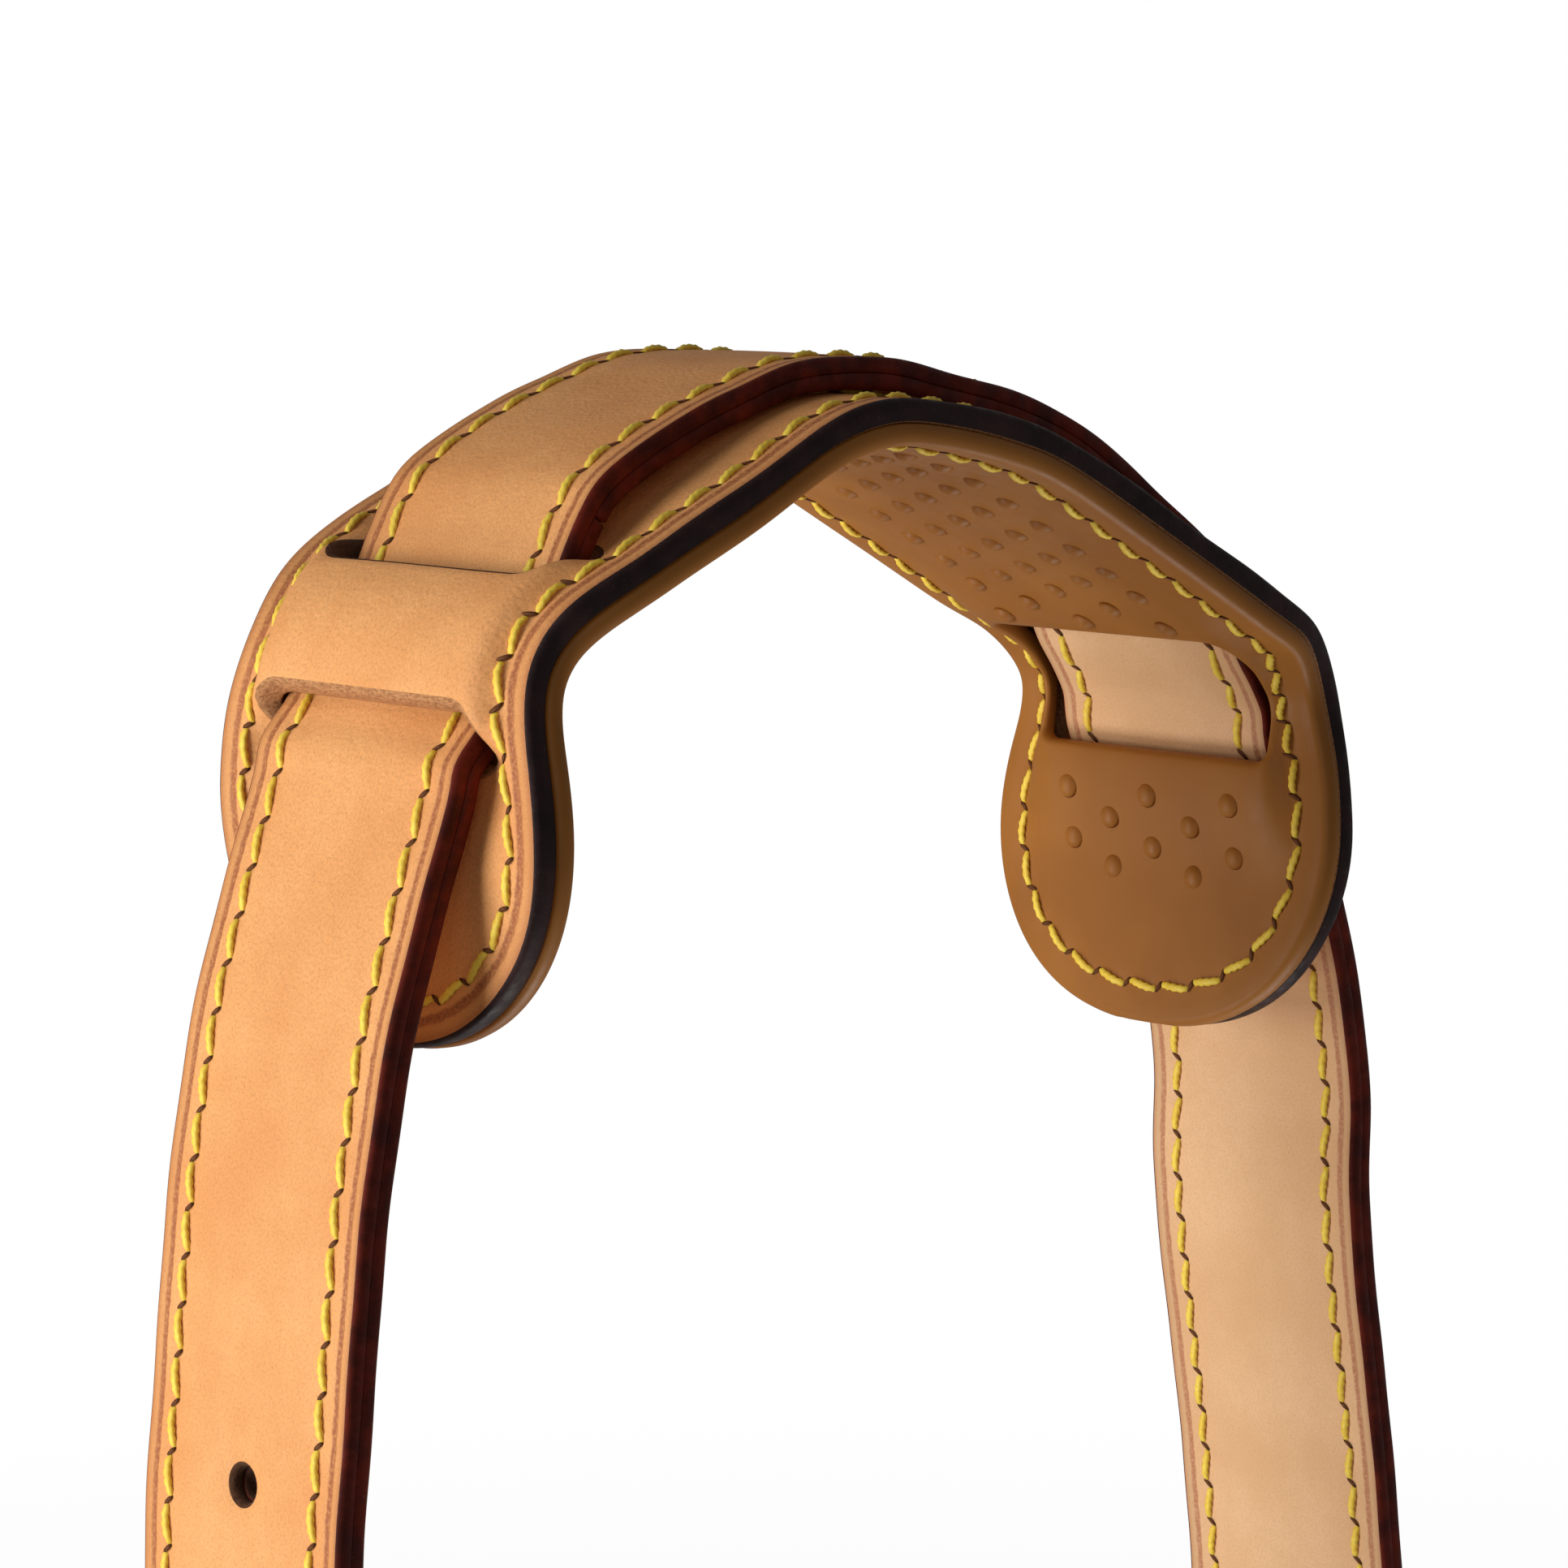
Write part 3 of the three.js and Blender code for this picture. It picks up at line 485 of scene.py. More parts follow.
# ---------------------------------------------------------------- materials
class Look:
    """A material with a Principled shader and a few helpers for its nodes."""

    def __init__(self, name, rough=0.5, metal=0.0, specular=0.5):
        self.material = bpy.data.materials.new(name)
        self.material.use_nodes = True
        self.nodes, self.links = self.material.node_tree.nodes, self.material.node_tree.links
        self.nodes.clear()
        self.shader = self.node("ShaderNodeBsdfPrincipled")
        out = self.node("ShaderNodeOutputMaterial")
        self.links.new(self.shader.outputs[0], out.inputs[0])
        self.shader.inputs["Roughness"].default_value = rough
        self.shader.inputs["Metallic"].default_value = metal
        self.shader.inputs["Specular IOR Level"].default_value = specular

    def node(self, kind, **inputs):
        made = self.nodes.new(kind)
        for key, value in inputs.items():
            self.feed(made.inputs[key.replace("_", " ")], value)
        return made

    def feed(self, socket, value):
        if isinstance(value, bpy.types.NodeSocket):
            self.links.new(value, socket)
        else:
            socket.default_value = value

    def flat_place(self):
        made = self.nodes.new("ShaderNodeUVMap")
        made.uv_map = "flat"
        return made.outputs[0]

    def object_place(self):
        return self.nodes.new("ShaderNodeTexCoord").outputs["Object"]

    def stretched(self, place, scale):
        return self.node("ShaderNodeMapping", Vector=place, Scale=scale).outputs[0]

    def noise(self, place, scale, detail=2.0, rough=0.5):
        return self.node(
            "ShaderNodeTexNoise", Vector=place, Scale=scale, Detail=detail, Roughness=rough
        ).outputs[0]

    def cells(self, place, scale, feature="F1"):
        made = self.node("ShaderNodeTexVoronoi", Vector=place, Scale=scale)
        made.feature = feature
        return made.outputs["Distance"]

    def spread(self, value, low, high, to_low=0.0, to_high=1.0):
        made = self.nodes.new("ShaderNodeMapRange")
        made.interpolation_type = "SMOOTHSTEP"
        keys = ("Value", "From Min", "From Max", "To Min", "To Max")
        for key, v in zip(keys, (value, low, high, to_low, to_high)):
            self.feed(made.inputs[key], v)
        return made.outputs[0]

    def math(self, operation, a, b=0.0):
        made = self.nodes.new("ShaderNodeMath")
        made.operation = operation
        self.feed(made.inputs[0], a)
        self.feed(made.inputs[1], b)
        return made.outputs[0]

    def times(self, a, b):
        return self.math("MULTIPLY", a, b)

    def mix(self, amount, a, b):
        made = self.nodes.new("ShaderNodeMix")
        made.data_type = "RGBA"
        for socket, value in ((made.inputs[0], amount), (made.inputs[6], a), (made.inputs[7], b)):
            self.feed(socket, (*value, 1.0) if isinstance(value, tuple) and len(value) == 3 else value)
        return made.outputs[2]

    def attribute(self, name):
        made = self.nodes.new("ShaderNodeAttribute")
        made.attribute_name = name
        return made.outputs["Fac"]

    def bump(self, height, distance, strength=1.0, under=None):
        made = self.node("ShaderNodeBump", Strength=strength, Distance=distance, Height=height)
        if under is not None:
            self.links.new(under, made.inputs["Normal"])
        return made.outputs[0]

    def finish(self, color=None, rough=None, normal=None):
        for key, value in (("Base Color", color), ("Roughness", rough), ("Normal", normal)):
            if value is not None:
                if isinstance(value, tuple):
                    value = (*value, 1.0)
                self.feed(self.shader.inputs[key], value)
        return self.material


def grain_leather(name, pale, deep, crease, grain=1.0):
    """Smooth natural leather: fine pores, soft clouds, and a burnished crease along its edge."""
    look = Look(name, specular=0.30)
    place = look.flat_place()
    clouds = look.spread(look.noise(place, 0.55, 3, 0.6), 0.35, 0.68)
    color = look.mix(clouds, pale, deep)
    mottle = look.spread(look.noise(place, 5.5, 4, 0.65), 0.38, 0.66)
    color = look.mix(look.times(mottle, 0.30), color, deep)
    speck = look.spread(look.noise(place, 34, 3, 0.8), 0.42, 0.68)
    dark = tuple(0.62 * c for c in deep)
    color = look.mix(look.times(speck, 0.50 * grain), color, dark)
    pores = look.spread(look.cells(place, 15), 0.02, 0.20, 1, 0)
    pores = look.times(pores, look.spread(look.noise(place, 2.2, 2), 0.45, 0.62))
    color = look.mix(look.times(pores, 0.30 * grain), color, tuple(0.50 * c for c in deep))
    inset = look.attribute("inset")
    wobble = look.times(look.math("SUBTRACT", look.noise(place, 9, 2), 0.5), 0.35)
    off = look.math("ABSOLUTE", look.math("SUBTRACT", look.math("ADD", inset, wobble), CREASE_INSET))
    line = look.spread(off, 0.20, 0.52, 1, 0)
    broken = look.spread(look.noise(place, 26, 3, 0.7), 0.32, 0.58, 0.45, 1)
    color = look.mix(look.times(line, broken), color, crease)
    color = look.mix(look.spread(inset, 1.1, 2.2, 0.42, 0), color, tuple(0.72 * c for c in deep))
    color = look.mix(look.spread(inset, 0.30, 1.15, 0.55, 0), color, crease)
    rough = look.spread(look.noise(place, 12, 3), 0.3, 0.7, 0.50, 0.66)
    fine = look.bump(look.noise(place, 24, 4, 0.75), 0.00016, 0.45 * grain)
    cell = look.bump(look.cells(place, 20, "SMOOTH_F1"), 0.00014, 0.40 * grain, fine)
    wrinkle = look.bump(look.noise(look.stretched(place, (1, 0.6, 1)), 3.2, 4, 0.6), 0.00035, 0.30, cell)
    return look.finish(color, rough, wrinkle)


def edge_paint(name, color, deep):
    """Thick, slightly glossy paint over the leather's cut edge."""
    look = Look(name, specular=0.12)
    place = look.object_place()
    patches = look.spread(look.noise(place, 260, 4, 0.6), 0.35, 0.7)
    tone = look.mix(patches, deep, color)
    specks = look.spread(look.noise(place, 1900, 2, 0.6), 0.66, 0.74)
    tone = look.mix(look.times(specks, 0.20), tone, (0.16, 0.09, 0.07))
    rough = look.spread(look.noise(place, 700, 3), 0.3, 0.7, 0.42, 0.62)
    coarse = look.bump(look.noise(place, 420, 3, 0.6), 0.00018, 0.35)
    fine = look.bump(look.noise(place, 2600, 3, 0.7), 0.00006, 0.4, coarse)
    return look.finish(tone, rough, fine)


def raw_edge(name, pale, deep):
    """The unpainted cut edge of a slot: short compressed fibres."""
    look = Look(name, rough=0.85, specular=0.2)
    place = look.object_place()
    fibre = look.noise(look.stretched(place, (1, 0.5, 1)), 3600, 4, 0.75)
    tone = look.mix(look.spread(fibre, 0.34, 0.62), deep, pale)
    normal = look.bump(fibre, 0.0003, 0.7)
    return look.finish(tone, None, normal)


def moulded_rubber(name):
    """Caramel rubber with a semi-gloss moulded skin."""
    look = Look(name, specular=0.26)
    place = look.object_place()
    patches = look.spread(look.noise(place, 60, 3), 0.35, 0.65)
    tone = look.mix(patches, (0.350, 0.132, 0.020), (0.300, 0.108, 0.015))
    rough = look.spread(look.noise(place, 500, 3), 0.3, 0.7, 0.44, 0.54)
    normal = look.bump(look.noise(place, 2400, 3, 0.6), 0.00004, 0.25)
    return look.finish(tone, rough, normal)


def waxed_thread(name):
    """Yellow linen thread with a few darker fibres."""
    look = Look(name, specular=0.45)
    place = look.object_place()
    patches = look.spread(look.noise(place, 900, 3), 0.35, 0.65)
    tone = look.mix(patches, (1.0, 0.75, 0.085), (0.92, 0.63, 0.055))
    hair = look.noise(place, 6000, 3, 0.7)
    tone = look.mix(look.spread(hair, 0.42, 0.62, 0.22, 0), tone, (0.45, 0.26, 0.02))
    return look.finish(tone, 0.5, look.bump(hair, 0.00005, 0.5))


def awl_slit_shade(name):
    """The slit that the awl leaves between two stitches; its dark colour is painted shade inside the cut."""
    look = Look(name, rough=0.8, specular=0.2)
    tone = look.mix(look.noise(look.object_place(), 2500, 3), (0.20, 0.075, 0.025), (0.07, 0.022, 0.008))
    return look.finish(tone)


def cast_metal(name, color, rough=0.24):
    """Polished metal with light wear and fine scratches."""
    look = Look(name, metal=1.0)
    place = look.object_place()
    patches = look.spread(look.noise(place, 120, 4, 0.6), 0.35, 0.7)
    tone = look.mix(patches, color, tuple(0.78 * c for c in color))
    wear = look.spread(look.noise(place, 420, 4, 0.65), 0.3, 0.7, rough, rough + 0.16)
    scratches = look.noise(look.stretched(place, (1, 1, 0.08)), 4200, 3, 0.6)
    normal = look.bump(scratches, 0.00002, 0.25, look.bump(look.noise(place, 300, 3), 0.0001, 0.12))
    return look.finish(tone, wear, normal)


TAN = grain_leather("natural_leather", (0.86, 0.412, 0.150), (0.76, 0.325, 0.106), (0.33, 0.095, 0.033))
PALE = grain_leather("back_leather", (0.82, 0.500, 0.268), (0.74, 0.425, 0.208), (0.46, 0.170, 0.080), 0.6)
PAINT = edge_paint("edge_paint", (0.150, 0.0160, 0.0070), (0.050, 0.0060, 0.0032))
PAD_PAINT = edge_paint("pad_edge_paint", (0.034, 0.0150, 0.0150), (0.014, 0.0070, 0.0070))
RAW = raw_edge("raw_leather_edge", (0.58, 0.290, 0.125), (0.32, 0.130, 0.052))
# A darker copy of the raw edge: painted shade for the walls of the pad's upper slots and of the strap's
# holes, which lie in shadow.
RAW_EDGE_SHADE = raw_edge("raw_leather_edge_painted_shade", (0.110, 0.046, 0.020), (0.055, 0.022, 0.010))
RUBBER = moulded_rubber("moulded_rubber")
THREAD = waxed_thread("waxed_thread")
SLIT = awl_slit_shade("awl_slit_shade")
BRASS = cast_metal("cast_brass", (0.80, 0.58, 0.25))
STEEL = cast_metal("drawn_steel", (0.62, 0.62, 0.61), 0.3)


# ---------------------------------------------------------------- stitches
STITCH_GAP = 0.80
STITCH_DEPTH = 0.42
STITCH_SLANT = 0.26
THREAD_SQUASH = 0.72
PLY_DEPTH = 0.17
PLY_TURNS = 2.1
PLY_SHIFT = 0.37
PUCKER_DEPTH = 0.16
PUCKER_REACH = 0.75
ROW_DEPTH = 0.05
ROW_REACH = 2.2
SLIT_HALF = (0.80, 0.25)
SLIT_SLANT = 1.3


def stitch_places(line, closed):
    """The slits along a line on the flat: their number, their pitch, and the place at any length."""
    ring = np.vstack([line, line[:1]]) if closed else line
    along = lengths_along(ring)
    count = round(along[-1] / STITCH_PITCH)
    return count, along[-1] / count, lambda t: read_off(t % along[-1] if closed else t, along, ring)


def stitches(name, path, lines, closed, surface, side, radius=THREAD_RADIUS):
    """Rows of twisted stitches on one face. surface gives that face's height; side is +1 outside."""
    verts, faces, looks = [], [], []
    rings, around, corners = 14, 10, 8
    phi = np.arange(around) * 2 * math.pi / around
    rim_angle = np.arange(corners) * 2 * math.pi / corners
    u = np.linspace(0, 1, rings)
    rise = np.sin(math.pi * u) ** 0.4
    lift = -STITCH_DEPTH + (STITCH_DEPTH + radius * 0.55) * rise
    sideways = STITCH_SLANT * np.sin((u - 0.5) * math.pi)

    def world(flat, lift):
        return path.place(flat[:, 0], flat[:, 1], surface(flat) + side * lift)

    for line in lines:
        count, pitch, pick = stitch_places(line, closed)
        for k in range(count):
            t = k * pitch + STITCH_GAP / 2 + (pitch - STITCH_GAP) * u
            direction = unit(pick(t + 0.2) - pick(t - 0.2))
            across = np.column_stack([-direction[:, 1], direction[:, 0]])
            flat = pick(t) + across * sideways[:, None]
            centre = world(flat, lift)
            twist = (u * PLY_TURNS + k * PLY_SHIFT) * 2 * math.pi
            ply = 1 + PLY_DEPTH * np.cos(2 * (phi[None, :] - twist[:, None]))
            size = radius * (0.66 + 0.34 * rise)[:, None] * ply
            faces += tube_faces(rings, around, sum_of(verts))
            verts.append(tube_points(centre, world(flat, lift + 0.5) - centre, size, phi, THREAD_SQUASH))
            looks += [0] * ((rings - 1) * around + 2)
        # Between the stitches, each slit is a closed dark lens, painted shade inside the awl's cut.
        for k in range(count if closed else count + 1):
            t = np.array([k * pitch])
            ahead = unit(pick(t + 0.2) - pick(t - 0.2))[0]
            long = unit(np.array([ahead - SLIT_SLANT * np.array([-ahead[1], ahead[0]])]))[0]
            wide = np.array([-long[1], long[0]])
            middle = pick(t)
            rim = middle + np.outer(SLIT_HALF[0] * np.cos(rim_angle), long)
            rim += np.outer(SLIT_HALF[1] * np.sin(rim_angle), wide)
            base = sum_of(verts)
            tips = world(np.vstack([middle, middle]), np.array([0.05, -0.25]))
            verts += [world(rim, np.zeros(corners)), tips]
            for j in range(corners):
                n = (j + 1) % corners
                faces += [[base + j, base + n, base + corners], [base + n, base + j, base + corners + 1]]
            looks += [1] * 2 * corners
    return outward(new_object(name, np.vstack(verts), faces, [THREAD, SLIT], looks))


def puckers(lines, closed):
    """How the leather sinks at each slit, and a little along the whole row."""
    places = []
    for line in lines:
        count, pitch, pick = stitch_places(line, closed)
        places.append(pick(np.arange(count + (not closed)) * pitch))
    places = np.vstack(places)

    def sink(points):
        away = least(points, lambda p: p - places)
        at_slit = PUCKER_DEPTH * np.exp(-((away / PUCKER_REACH) ** 2))
        return -at_slit - ROW_DEPTH * np.exp(-((away / ROW_REACH) ** 2))

    return sink


def along_edge(inset_of, depth=0.15, at=CREASE_INSET):
    """The pressed crease line that runs along an edge."""
    return lambda points: -depth * np.exp(-(((inset_of(points) - at) / 0.30) ** 2))


def dress(piece, body, slot, *nodes):
    """The piece rides on a body and hides the CAD nodes it stands for. The slot argument is not used."""
    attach(piece, body)
    if nodes:
        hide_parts(*nodes)
    return piece


# ---------------------------------------------------------------- camera, light and floor
scene = bpy.context.scene
scene.view_settings.view_transform = "Standard"
camera_data = bpy.data.cameras.new("camera")
camera_data.lens = 111.80
camera_data.sensor_width = 36.0
camera_data.clip_end = 50.0
camera = bpy.data.objects.new("camera", camera_data)
camera.location = Vector((-326.9, -355.9, 25.5)) * MM
camera_aim = Vector((6.5, 0.0, -35.3)) * MM
camera.rotation_euler = (camera_aim - camera.location).to_track_quat("-Z", "Y").to_euler()
scene.collection.objects.link(camera)
scene.camera = camera


def soft_light(name, place, aim, size, power, color=(1, 1, 1)):
    """An area light that aims at a point. Its place, aim and size are in metres, its power in watts."""
    data = bpy.data.lights.new(name, "AREA")
    data.shape = "RECTANGLE"
    data.size, data.size_y = size
    data.energy = power
    data.color = color
    lamp = bpy.data.objects.new(name, data)
    lamp.location = place
    lamp.rotation_euler = (Vector(aim) - Vector(place)).to_track_quat("-Z", "Y").to_euler()
    lamp.visible_camera = False
    scene.collection.objects.link(lamp)


soft_light("key", (-0.50, 0.14, -0.02), (0, 0, -0.05), (0.20, 0.24), 1.6, (1.0, 0.985, 0.96))
soft_light("low", (-0.80, 0.30, -0.60), (0, 0, -0.06), (0.50, 0.50), 5.3, (1.0, 0.985, 0.96))
soft_light("top", (-0.60, 0.20, 0.60), (0, 0, 0), (0.40, 0.40), 1.7)
soft_light("under", (0.25, -0.10, -0.85), (0.02, 0, -0.02), (0.50, 0.50), 4.2, (1.0, 0.98, 0.95))
soft_light("fill", (-0.55, -0.75, 0.10), (0, 0, -0.08), (0.9, 0.9), 1.3)

world = bpy.data.worlds.new("studio")
world.use_nodes = True
scene.world = world
world_nodes, world_links = world.node_tree.nodes, world.node_tree.links
world_nodes.clear()
rays = world_nodes.new("ShaderNodeLightPath")


def background(color, strength):
    made = world_nodes.new("ShaderNodeBackground")
    made.inputs["Color"].default_value = (*color, 1.0)
    made.inputs["Strength"].default_value = strength
    return made.outputs[0]


def by_ray(kind, other, chosen):
    """One background for a kind of ray, and another for the rest."""
    made = world_nodes.new("ShaderNodeMixShader")
    for socket, value in zip(made.inputs, (rays.outputs[kind], other, chosen)):
        world_links.new(value, socket)
    return made.outputs[0]


lit = by_ray("Is Glossy Ray", background((1.0, 0.98, 0.96), 0.07), background((1.0, 0.98, 0.96), 0.30))
sky = by_ray("Is Camera Ray", lit, background((1, 1, 1), 1.0))
world_links.new(sky, world_nodes.new("ShaderNodeOutputWorld").inputs[0])

floor_look = Look("pale_floor", rough=0.9, specular=0.1)
floor_place = floor_look.object_place()
floor_far = floor_look.node("ShaderNodeVectorMath", Vector=floor_place)
floor_far.operation = "LENGTH"
floor_tone = floor_look.mix(floor_look.noise(floor_place, 3, 2), (0.90, 0.90, 0.89), (0.93, 0.93, 0.92))
floor_look.finish(floor_tone)
glow = floor_look.nodes.new("ShaderNodeEmission")
glow.inputs["Strength"].default_value = 1.0
blend_floor = floor_look.nodes.new("ShaderNodeMixShader")
fade_out = floor_look.spread(floor_far.outputs["Value"], 0.20, 0.9, 0.82, 1)
for socket, value in zip(blend_floor.inputs, (fade_out, floor_look.shader.outputs[0], glow.outputs[0])):
    floor_look.links.new(value, socket)
floor_out = next(n for n in floor_look.nodes if n.type == "OUTPUT_MATERIAL")
floor_look.links.new(blend_floor.outputs[0], floor_out.inputs[0])
FLOOR_Z = -300.0
floor_ring = [(6000 * math.cos(a), 6000 * math.sin(a), FLOOR_Z) for a in np.arange(48) * math.pi / 24]
floor = new_object("floor", floor_ring, [list(range(48))], [floor_look.material])
floor.visible_diffuse = False
floor.visible_glossy = False
floor.visible_shadow = False
floor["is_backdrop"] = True


# ---------------------------------------------------------------- shoulder pad
def from_tip(s):
    return np.minimum(s, PAD_LENGTH - s)


def pad_half(s):
    d = np.clip(from_tip(s), 0, PAD_HALF)
    tip = PAD_HALF * (1 - ((PAD_HALF - d) / PAD_HALF) ** PAD_TIP_POWER) ** (1 / PAD_TIP_POWER)
    return tip - PAD_WAIST * np.exp(-(((from_tip(s) - PAD_WAIST_AT) / PAD_WAIST_REACH) ** 2))


def pad_outline():
    near_tip = PAD_HALF * (1 - np.cos(np.linspace(0, math.pi / 2, 90)))
    middle = np.arange(PAD_HALF + 0.5, PAD_LENGTH - PAD_HALF, 0.5)
    s = np.concatenate([near_tip, middle, (PAD_LENGTH - near_tip)[::-1]])
    half = pad_half(s)
    lower = np.column_stack([s, -half])
    upper = np.column_stack([s, half])[::-1]
    return even(np.vstack([lower, upper[1:-1]]), 0.85)


PAD_OUTLINE = pad_outline()


def across_pad(points):
    share = np.abs(points[:, 1]) / np.maximum(pad_half(points[:, 0]), 1)
    return 1 - smoothstep((share - 0.70) / 0.145)


def pad_dip(points):
    d = from_tip(points[:, 0])
    away = np.maximum(np.maximum(TONGUE - d, d - UPPER_SLOT_END), 0)
    return -dip_depth(d) * (1 - smoothstep(away / DIP_REACH)) * across_pad(points)


def dip_depth(d):
    """How far the strap presses the pad in: more at the tongue than where it comes up over the arch."""
    past_slot = smoothstep((d - LOWER_SLOT_END) / (BRIDGE_END - LOWER_SLOT_END))
    return TONGUE_DIP + (ARCH_DIP - TONGUE_DIP) * past_slot


def bridge_rise(points):
    d = from_tip(points[:, 0])
    rise = smoothstep((d - TONGUE) / (LOWER_SLOT_END - TONGUE))
    rise = rise * (1 - smoothstep((d - BRIDGE_END) / (UPPER_SLOT_END - BRIDGE_END)))
    bow = 0.25 * np.cos(np.clip((d - 40.5) / 7, -1, 1) * math.pi / 2)
    return rise * (BRIDGE_LIFT + dip_depth(d) + bow) * across_pad(points)


def on_both_ends(loops):
    """Loops given from the left tip, and their mirror images from the right one."""
    turned = [np.column_stack([PAD_LENGTH - loop[:, 0], loop[:, 1]])[::-1] for loop in loops]
    return loops + turned


SLOT_HALF = 15.3
pad_slots = on_both_ends(
    [
        rounded_box(TONGUE, LOWER_SLOT_END, SLOT_HALF, (2.4, 2.3)),
        rounded_box(BRIDGE_END, UPPER_SLOT_END, SLOT_HALF, (2.2, 2.6)),
    ]
)
liner_windows = on_both_ends([rounded_box(WINDOW_START, WINDOW_END, 16.4, (1.6, 1.8))])

pad_stitch_line = even(shifted(PAD_OUTLINE, STITCH_INSET), 0.4)
pad_sink = puckers([pad_stitch_line], True)
pad_crease = along_edge(from_border(PAD_OUTLINE), at=PAD_CREASE_INSET)
pad_wave = lambda points: 0.10 * np.sin(points[:, 0] * 0.31 + 1.0) * np.sin(points[:, 1] * 0.23 + 0.6)

LEATHER_RINGS = (0.95, 1.4, 1.8, 2.1, 2.4, 2.7, 3.0, 3.5, 4.0, 4.6, 5.4, 6.6)
PAINTED_WALL = [
    (0.50, 0.0), (0.20, 0.07), (0.03, 0.2), (-0.04, 0.5), (0.02, 0.80), (0.10, 0.93), (0.35, 1.0),
]
leather_top = mesh_points(PAD_OUTLINE, pad_slots, LEATHER_RINGS, 0.85, (1.5, 1.5), keep=1.2)
leather_bottom = mesh_points(PAD_OUTLINE, pad_slots, (2.0,), 2.5, (3.0, 3.0))
leather = Sheet(
    pad_path, PAD_OUTLINE, pad_slots, -PAD_LEATHER, 0.0, PAINTED_WALL, leather_top, leather_bottom,
    hole_bevel=0.8, crease=PAD_CREASE_INSET,
)
leather_base = lambda points: pad_dip(points) + bridge_rise(points)
leather_lift = lambda p: leather_base(p) + pad_sink(p) + pad_crease(p) + pad_wave(p)
# The walls of the upper slots take the raw edge's darker copy, which is painted shade.
pad_leather = leather.build(
    "shoulder_pad_leather", [TAN, PAD_PAINT, RAW, RAW_EDGE_SHADE], leather_lift, leather_base,
    [0, 1, 1, 1, 1, 1, 2, 2], [[0] + [2] * 7, [0] + [3] * 7] * 2,
)
dress(pad_leather, "pad_and_crown", "natural_leather", "pad_leather")


NUB_PROFILE = [(1.45, 0.25), (1.28, -0.06), (1.10, -0.24), (0.88, -0.42), (0.62, -0.56), (0.32, -0.64)]
NUB_TIP = -0.66


def nub(s, y):
    """A low moulded dome on the liner's inner face, as rings of points and faces."""
    around = 18
    a = np.arange(around) * 2 * math.pi / around
    face = -PAD_LEATHER - PAD_LINER + pad_dip(np.array([[s, y]]))[0]
    rings = [pad_path.place(s + r * np.cos(a), y + r * np.sin(a), face + h) for r, h in NUB_PROFILE]
    points = np.vstack(rings + [pad_path.place(s, y, face + NUB_TIP)])
    faces = [f[::-1] for f in tube_faces(len(rings), around)[:-1]]
    top = (len(rings) - 1) * around
    faces += [[top + j, len(points) - 1, top + (j + 1) % around] for j in range(around)]
    return points, faces


def joined(thing, parts):
    """Adds closed bodies to a mesh, with its first material."""
    made = bmesh.new()
    made.from_mesh(thing.data)
    for points, faces in parts:
        corners = [made.verts.new(p) for p in (points * MM).tolist()]
        for f in faces:
            made.faces.new([corners[i] for i in f]).smooth = True
    made.to_mesh(thing.data)
    made.free()


RUBBER_WALL = [
    (0.14, 0.0), (-0.06, 0.07), (-0.20, 0.26), (-0.20, 0.52), (-0.02, 0.78), (0.30, 0.94), (0.75, 1.0),
]
liner_top = mesh_points(PAD_OUTLINE, liner_windows, (2.0,), 2.5, (3.0, 3.0))
liner_bottom = mesh_points(PAD_OUTLINE, liner_windows, (1.9, 2.6, 3.3, 4.0, 4.7, 5.6), 0.95, (2.0, 2.0))
liner = Sheet(
    pad_path, PAD_OUTLINE, liner_windows, -PAD_LEATHER - PAD_LINER, -PAD_LEATHER - 0.08, RUBBER_WALL,
    liner_top, liner_bottom,
)
liner_lift = lambda p: pad_dip(p) - pad_sink(p) * 0.8
pad_liner = liner.build("shoulder_pad_liner", [RUBBER], pad_dip, liner_lift, [0] * 8)

# The nubs stand on the two tongues, shifted half a step to the middle, and over the arch past the windows.
nub_rows = int(PAD_LENGTH / NUB_ROW_STEP)
nubs = []
for row in range(nub_rows + 1):
    s = PAD_LENGTH / 2 + (row - nub_rows / 2) * NUB_ROW_STEP
    d = from_tip(s)
    if TONGUE - 13 < d < TONGUE - 2:
        s += NUB_ROW_STEP / 2 * (-1 if s > PAD_LENGTH / 2 else 1)
    elif d < UPPER_SLOT_END + 2:
        continue
    nubs += [nub(s, column * NUB_COLUMN_STEP) for column in range(-2, 3) if (row + column) % 2 == 0]
joined(pad_liner, nubs)
dress(pad_liner, "pad_and_crown", "moulded_liner", "pad_liner")

needle = stitches(
    "shoulder_pad_needle_stitches", pad_path, [pad_stitch_line], True,
    lambda p: leather_base(p) + pad_wave(p), 1,
)
dress(needle, "pad_and_crown", "waxed_thread", "pad_needle_thread")
bobbin = stitches(
    "shoulder_pad_bobbin_stitches", pad_path, [pad_stitch_line], True,
    lambda p: pad_dip(p) - PAD_LEATHER - PAD_LINER, -1,
)
dress(bobbin, "pad_and_crown", "waxed_thread", "pad_bobbin_thread")

# ---------------------------------------------------------------- strap
# The outer layer's seams lie under the bridges, and the inner layer's above the liner's windows.
OUTER_SEAM = 45.0
INNER_SEAM = 57.5
SEAM_GAP = 0.03
FOLD_BACK_THREAD_END = strap_path.length - 2 * 33 - math.pi * STRAP_FOLD - 3


def seams(from_pad_tip):
    return [strap_path.nearest(*over_pad(d, UNDER)) for d in (from_pad_tip, PAD_LENGTH - from_pad_tip)]


outer_seams, inner_seams = seams(OUTER_SEAM), seams(INNER_SEAM)


def strap_half(s):
    return STRAP_HALF * (1 - np.maximum(0, 1 - np.asarray(s, float) / TIP_TAPER) ** 2.4) ** 0.8


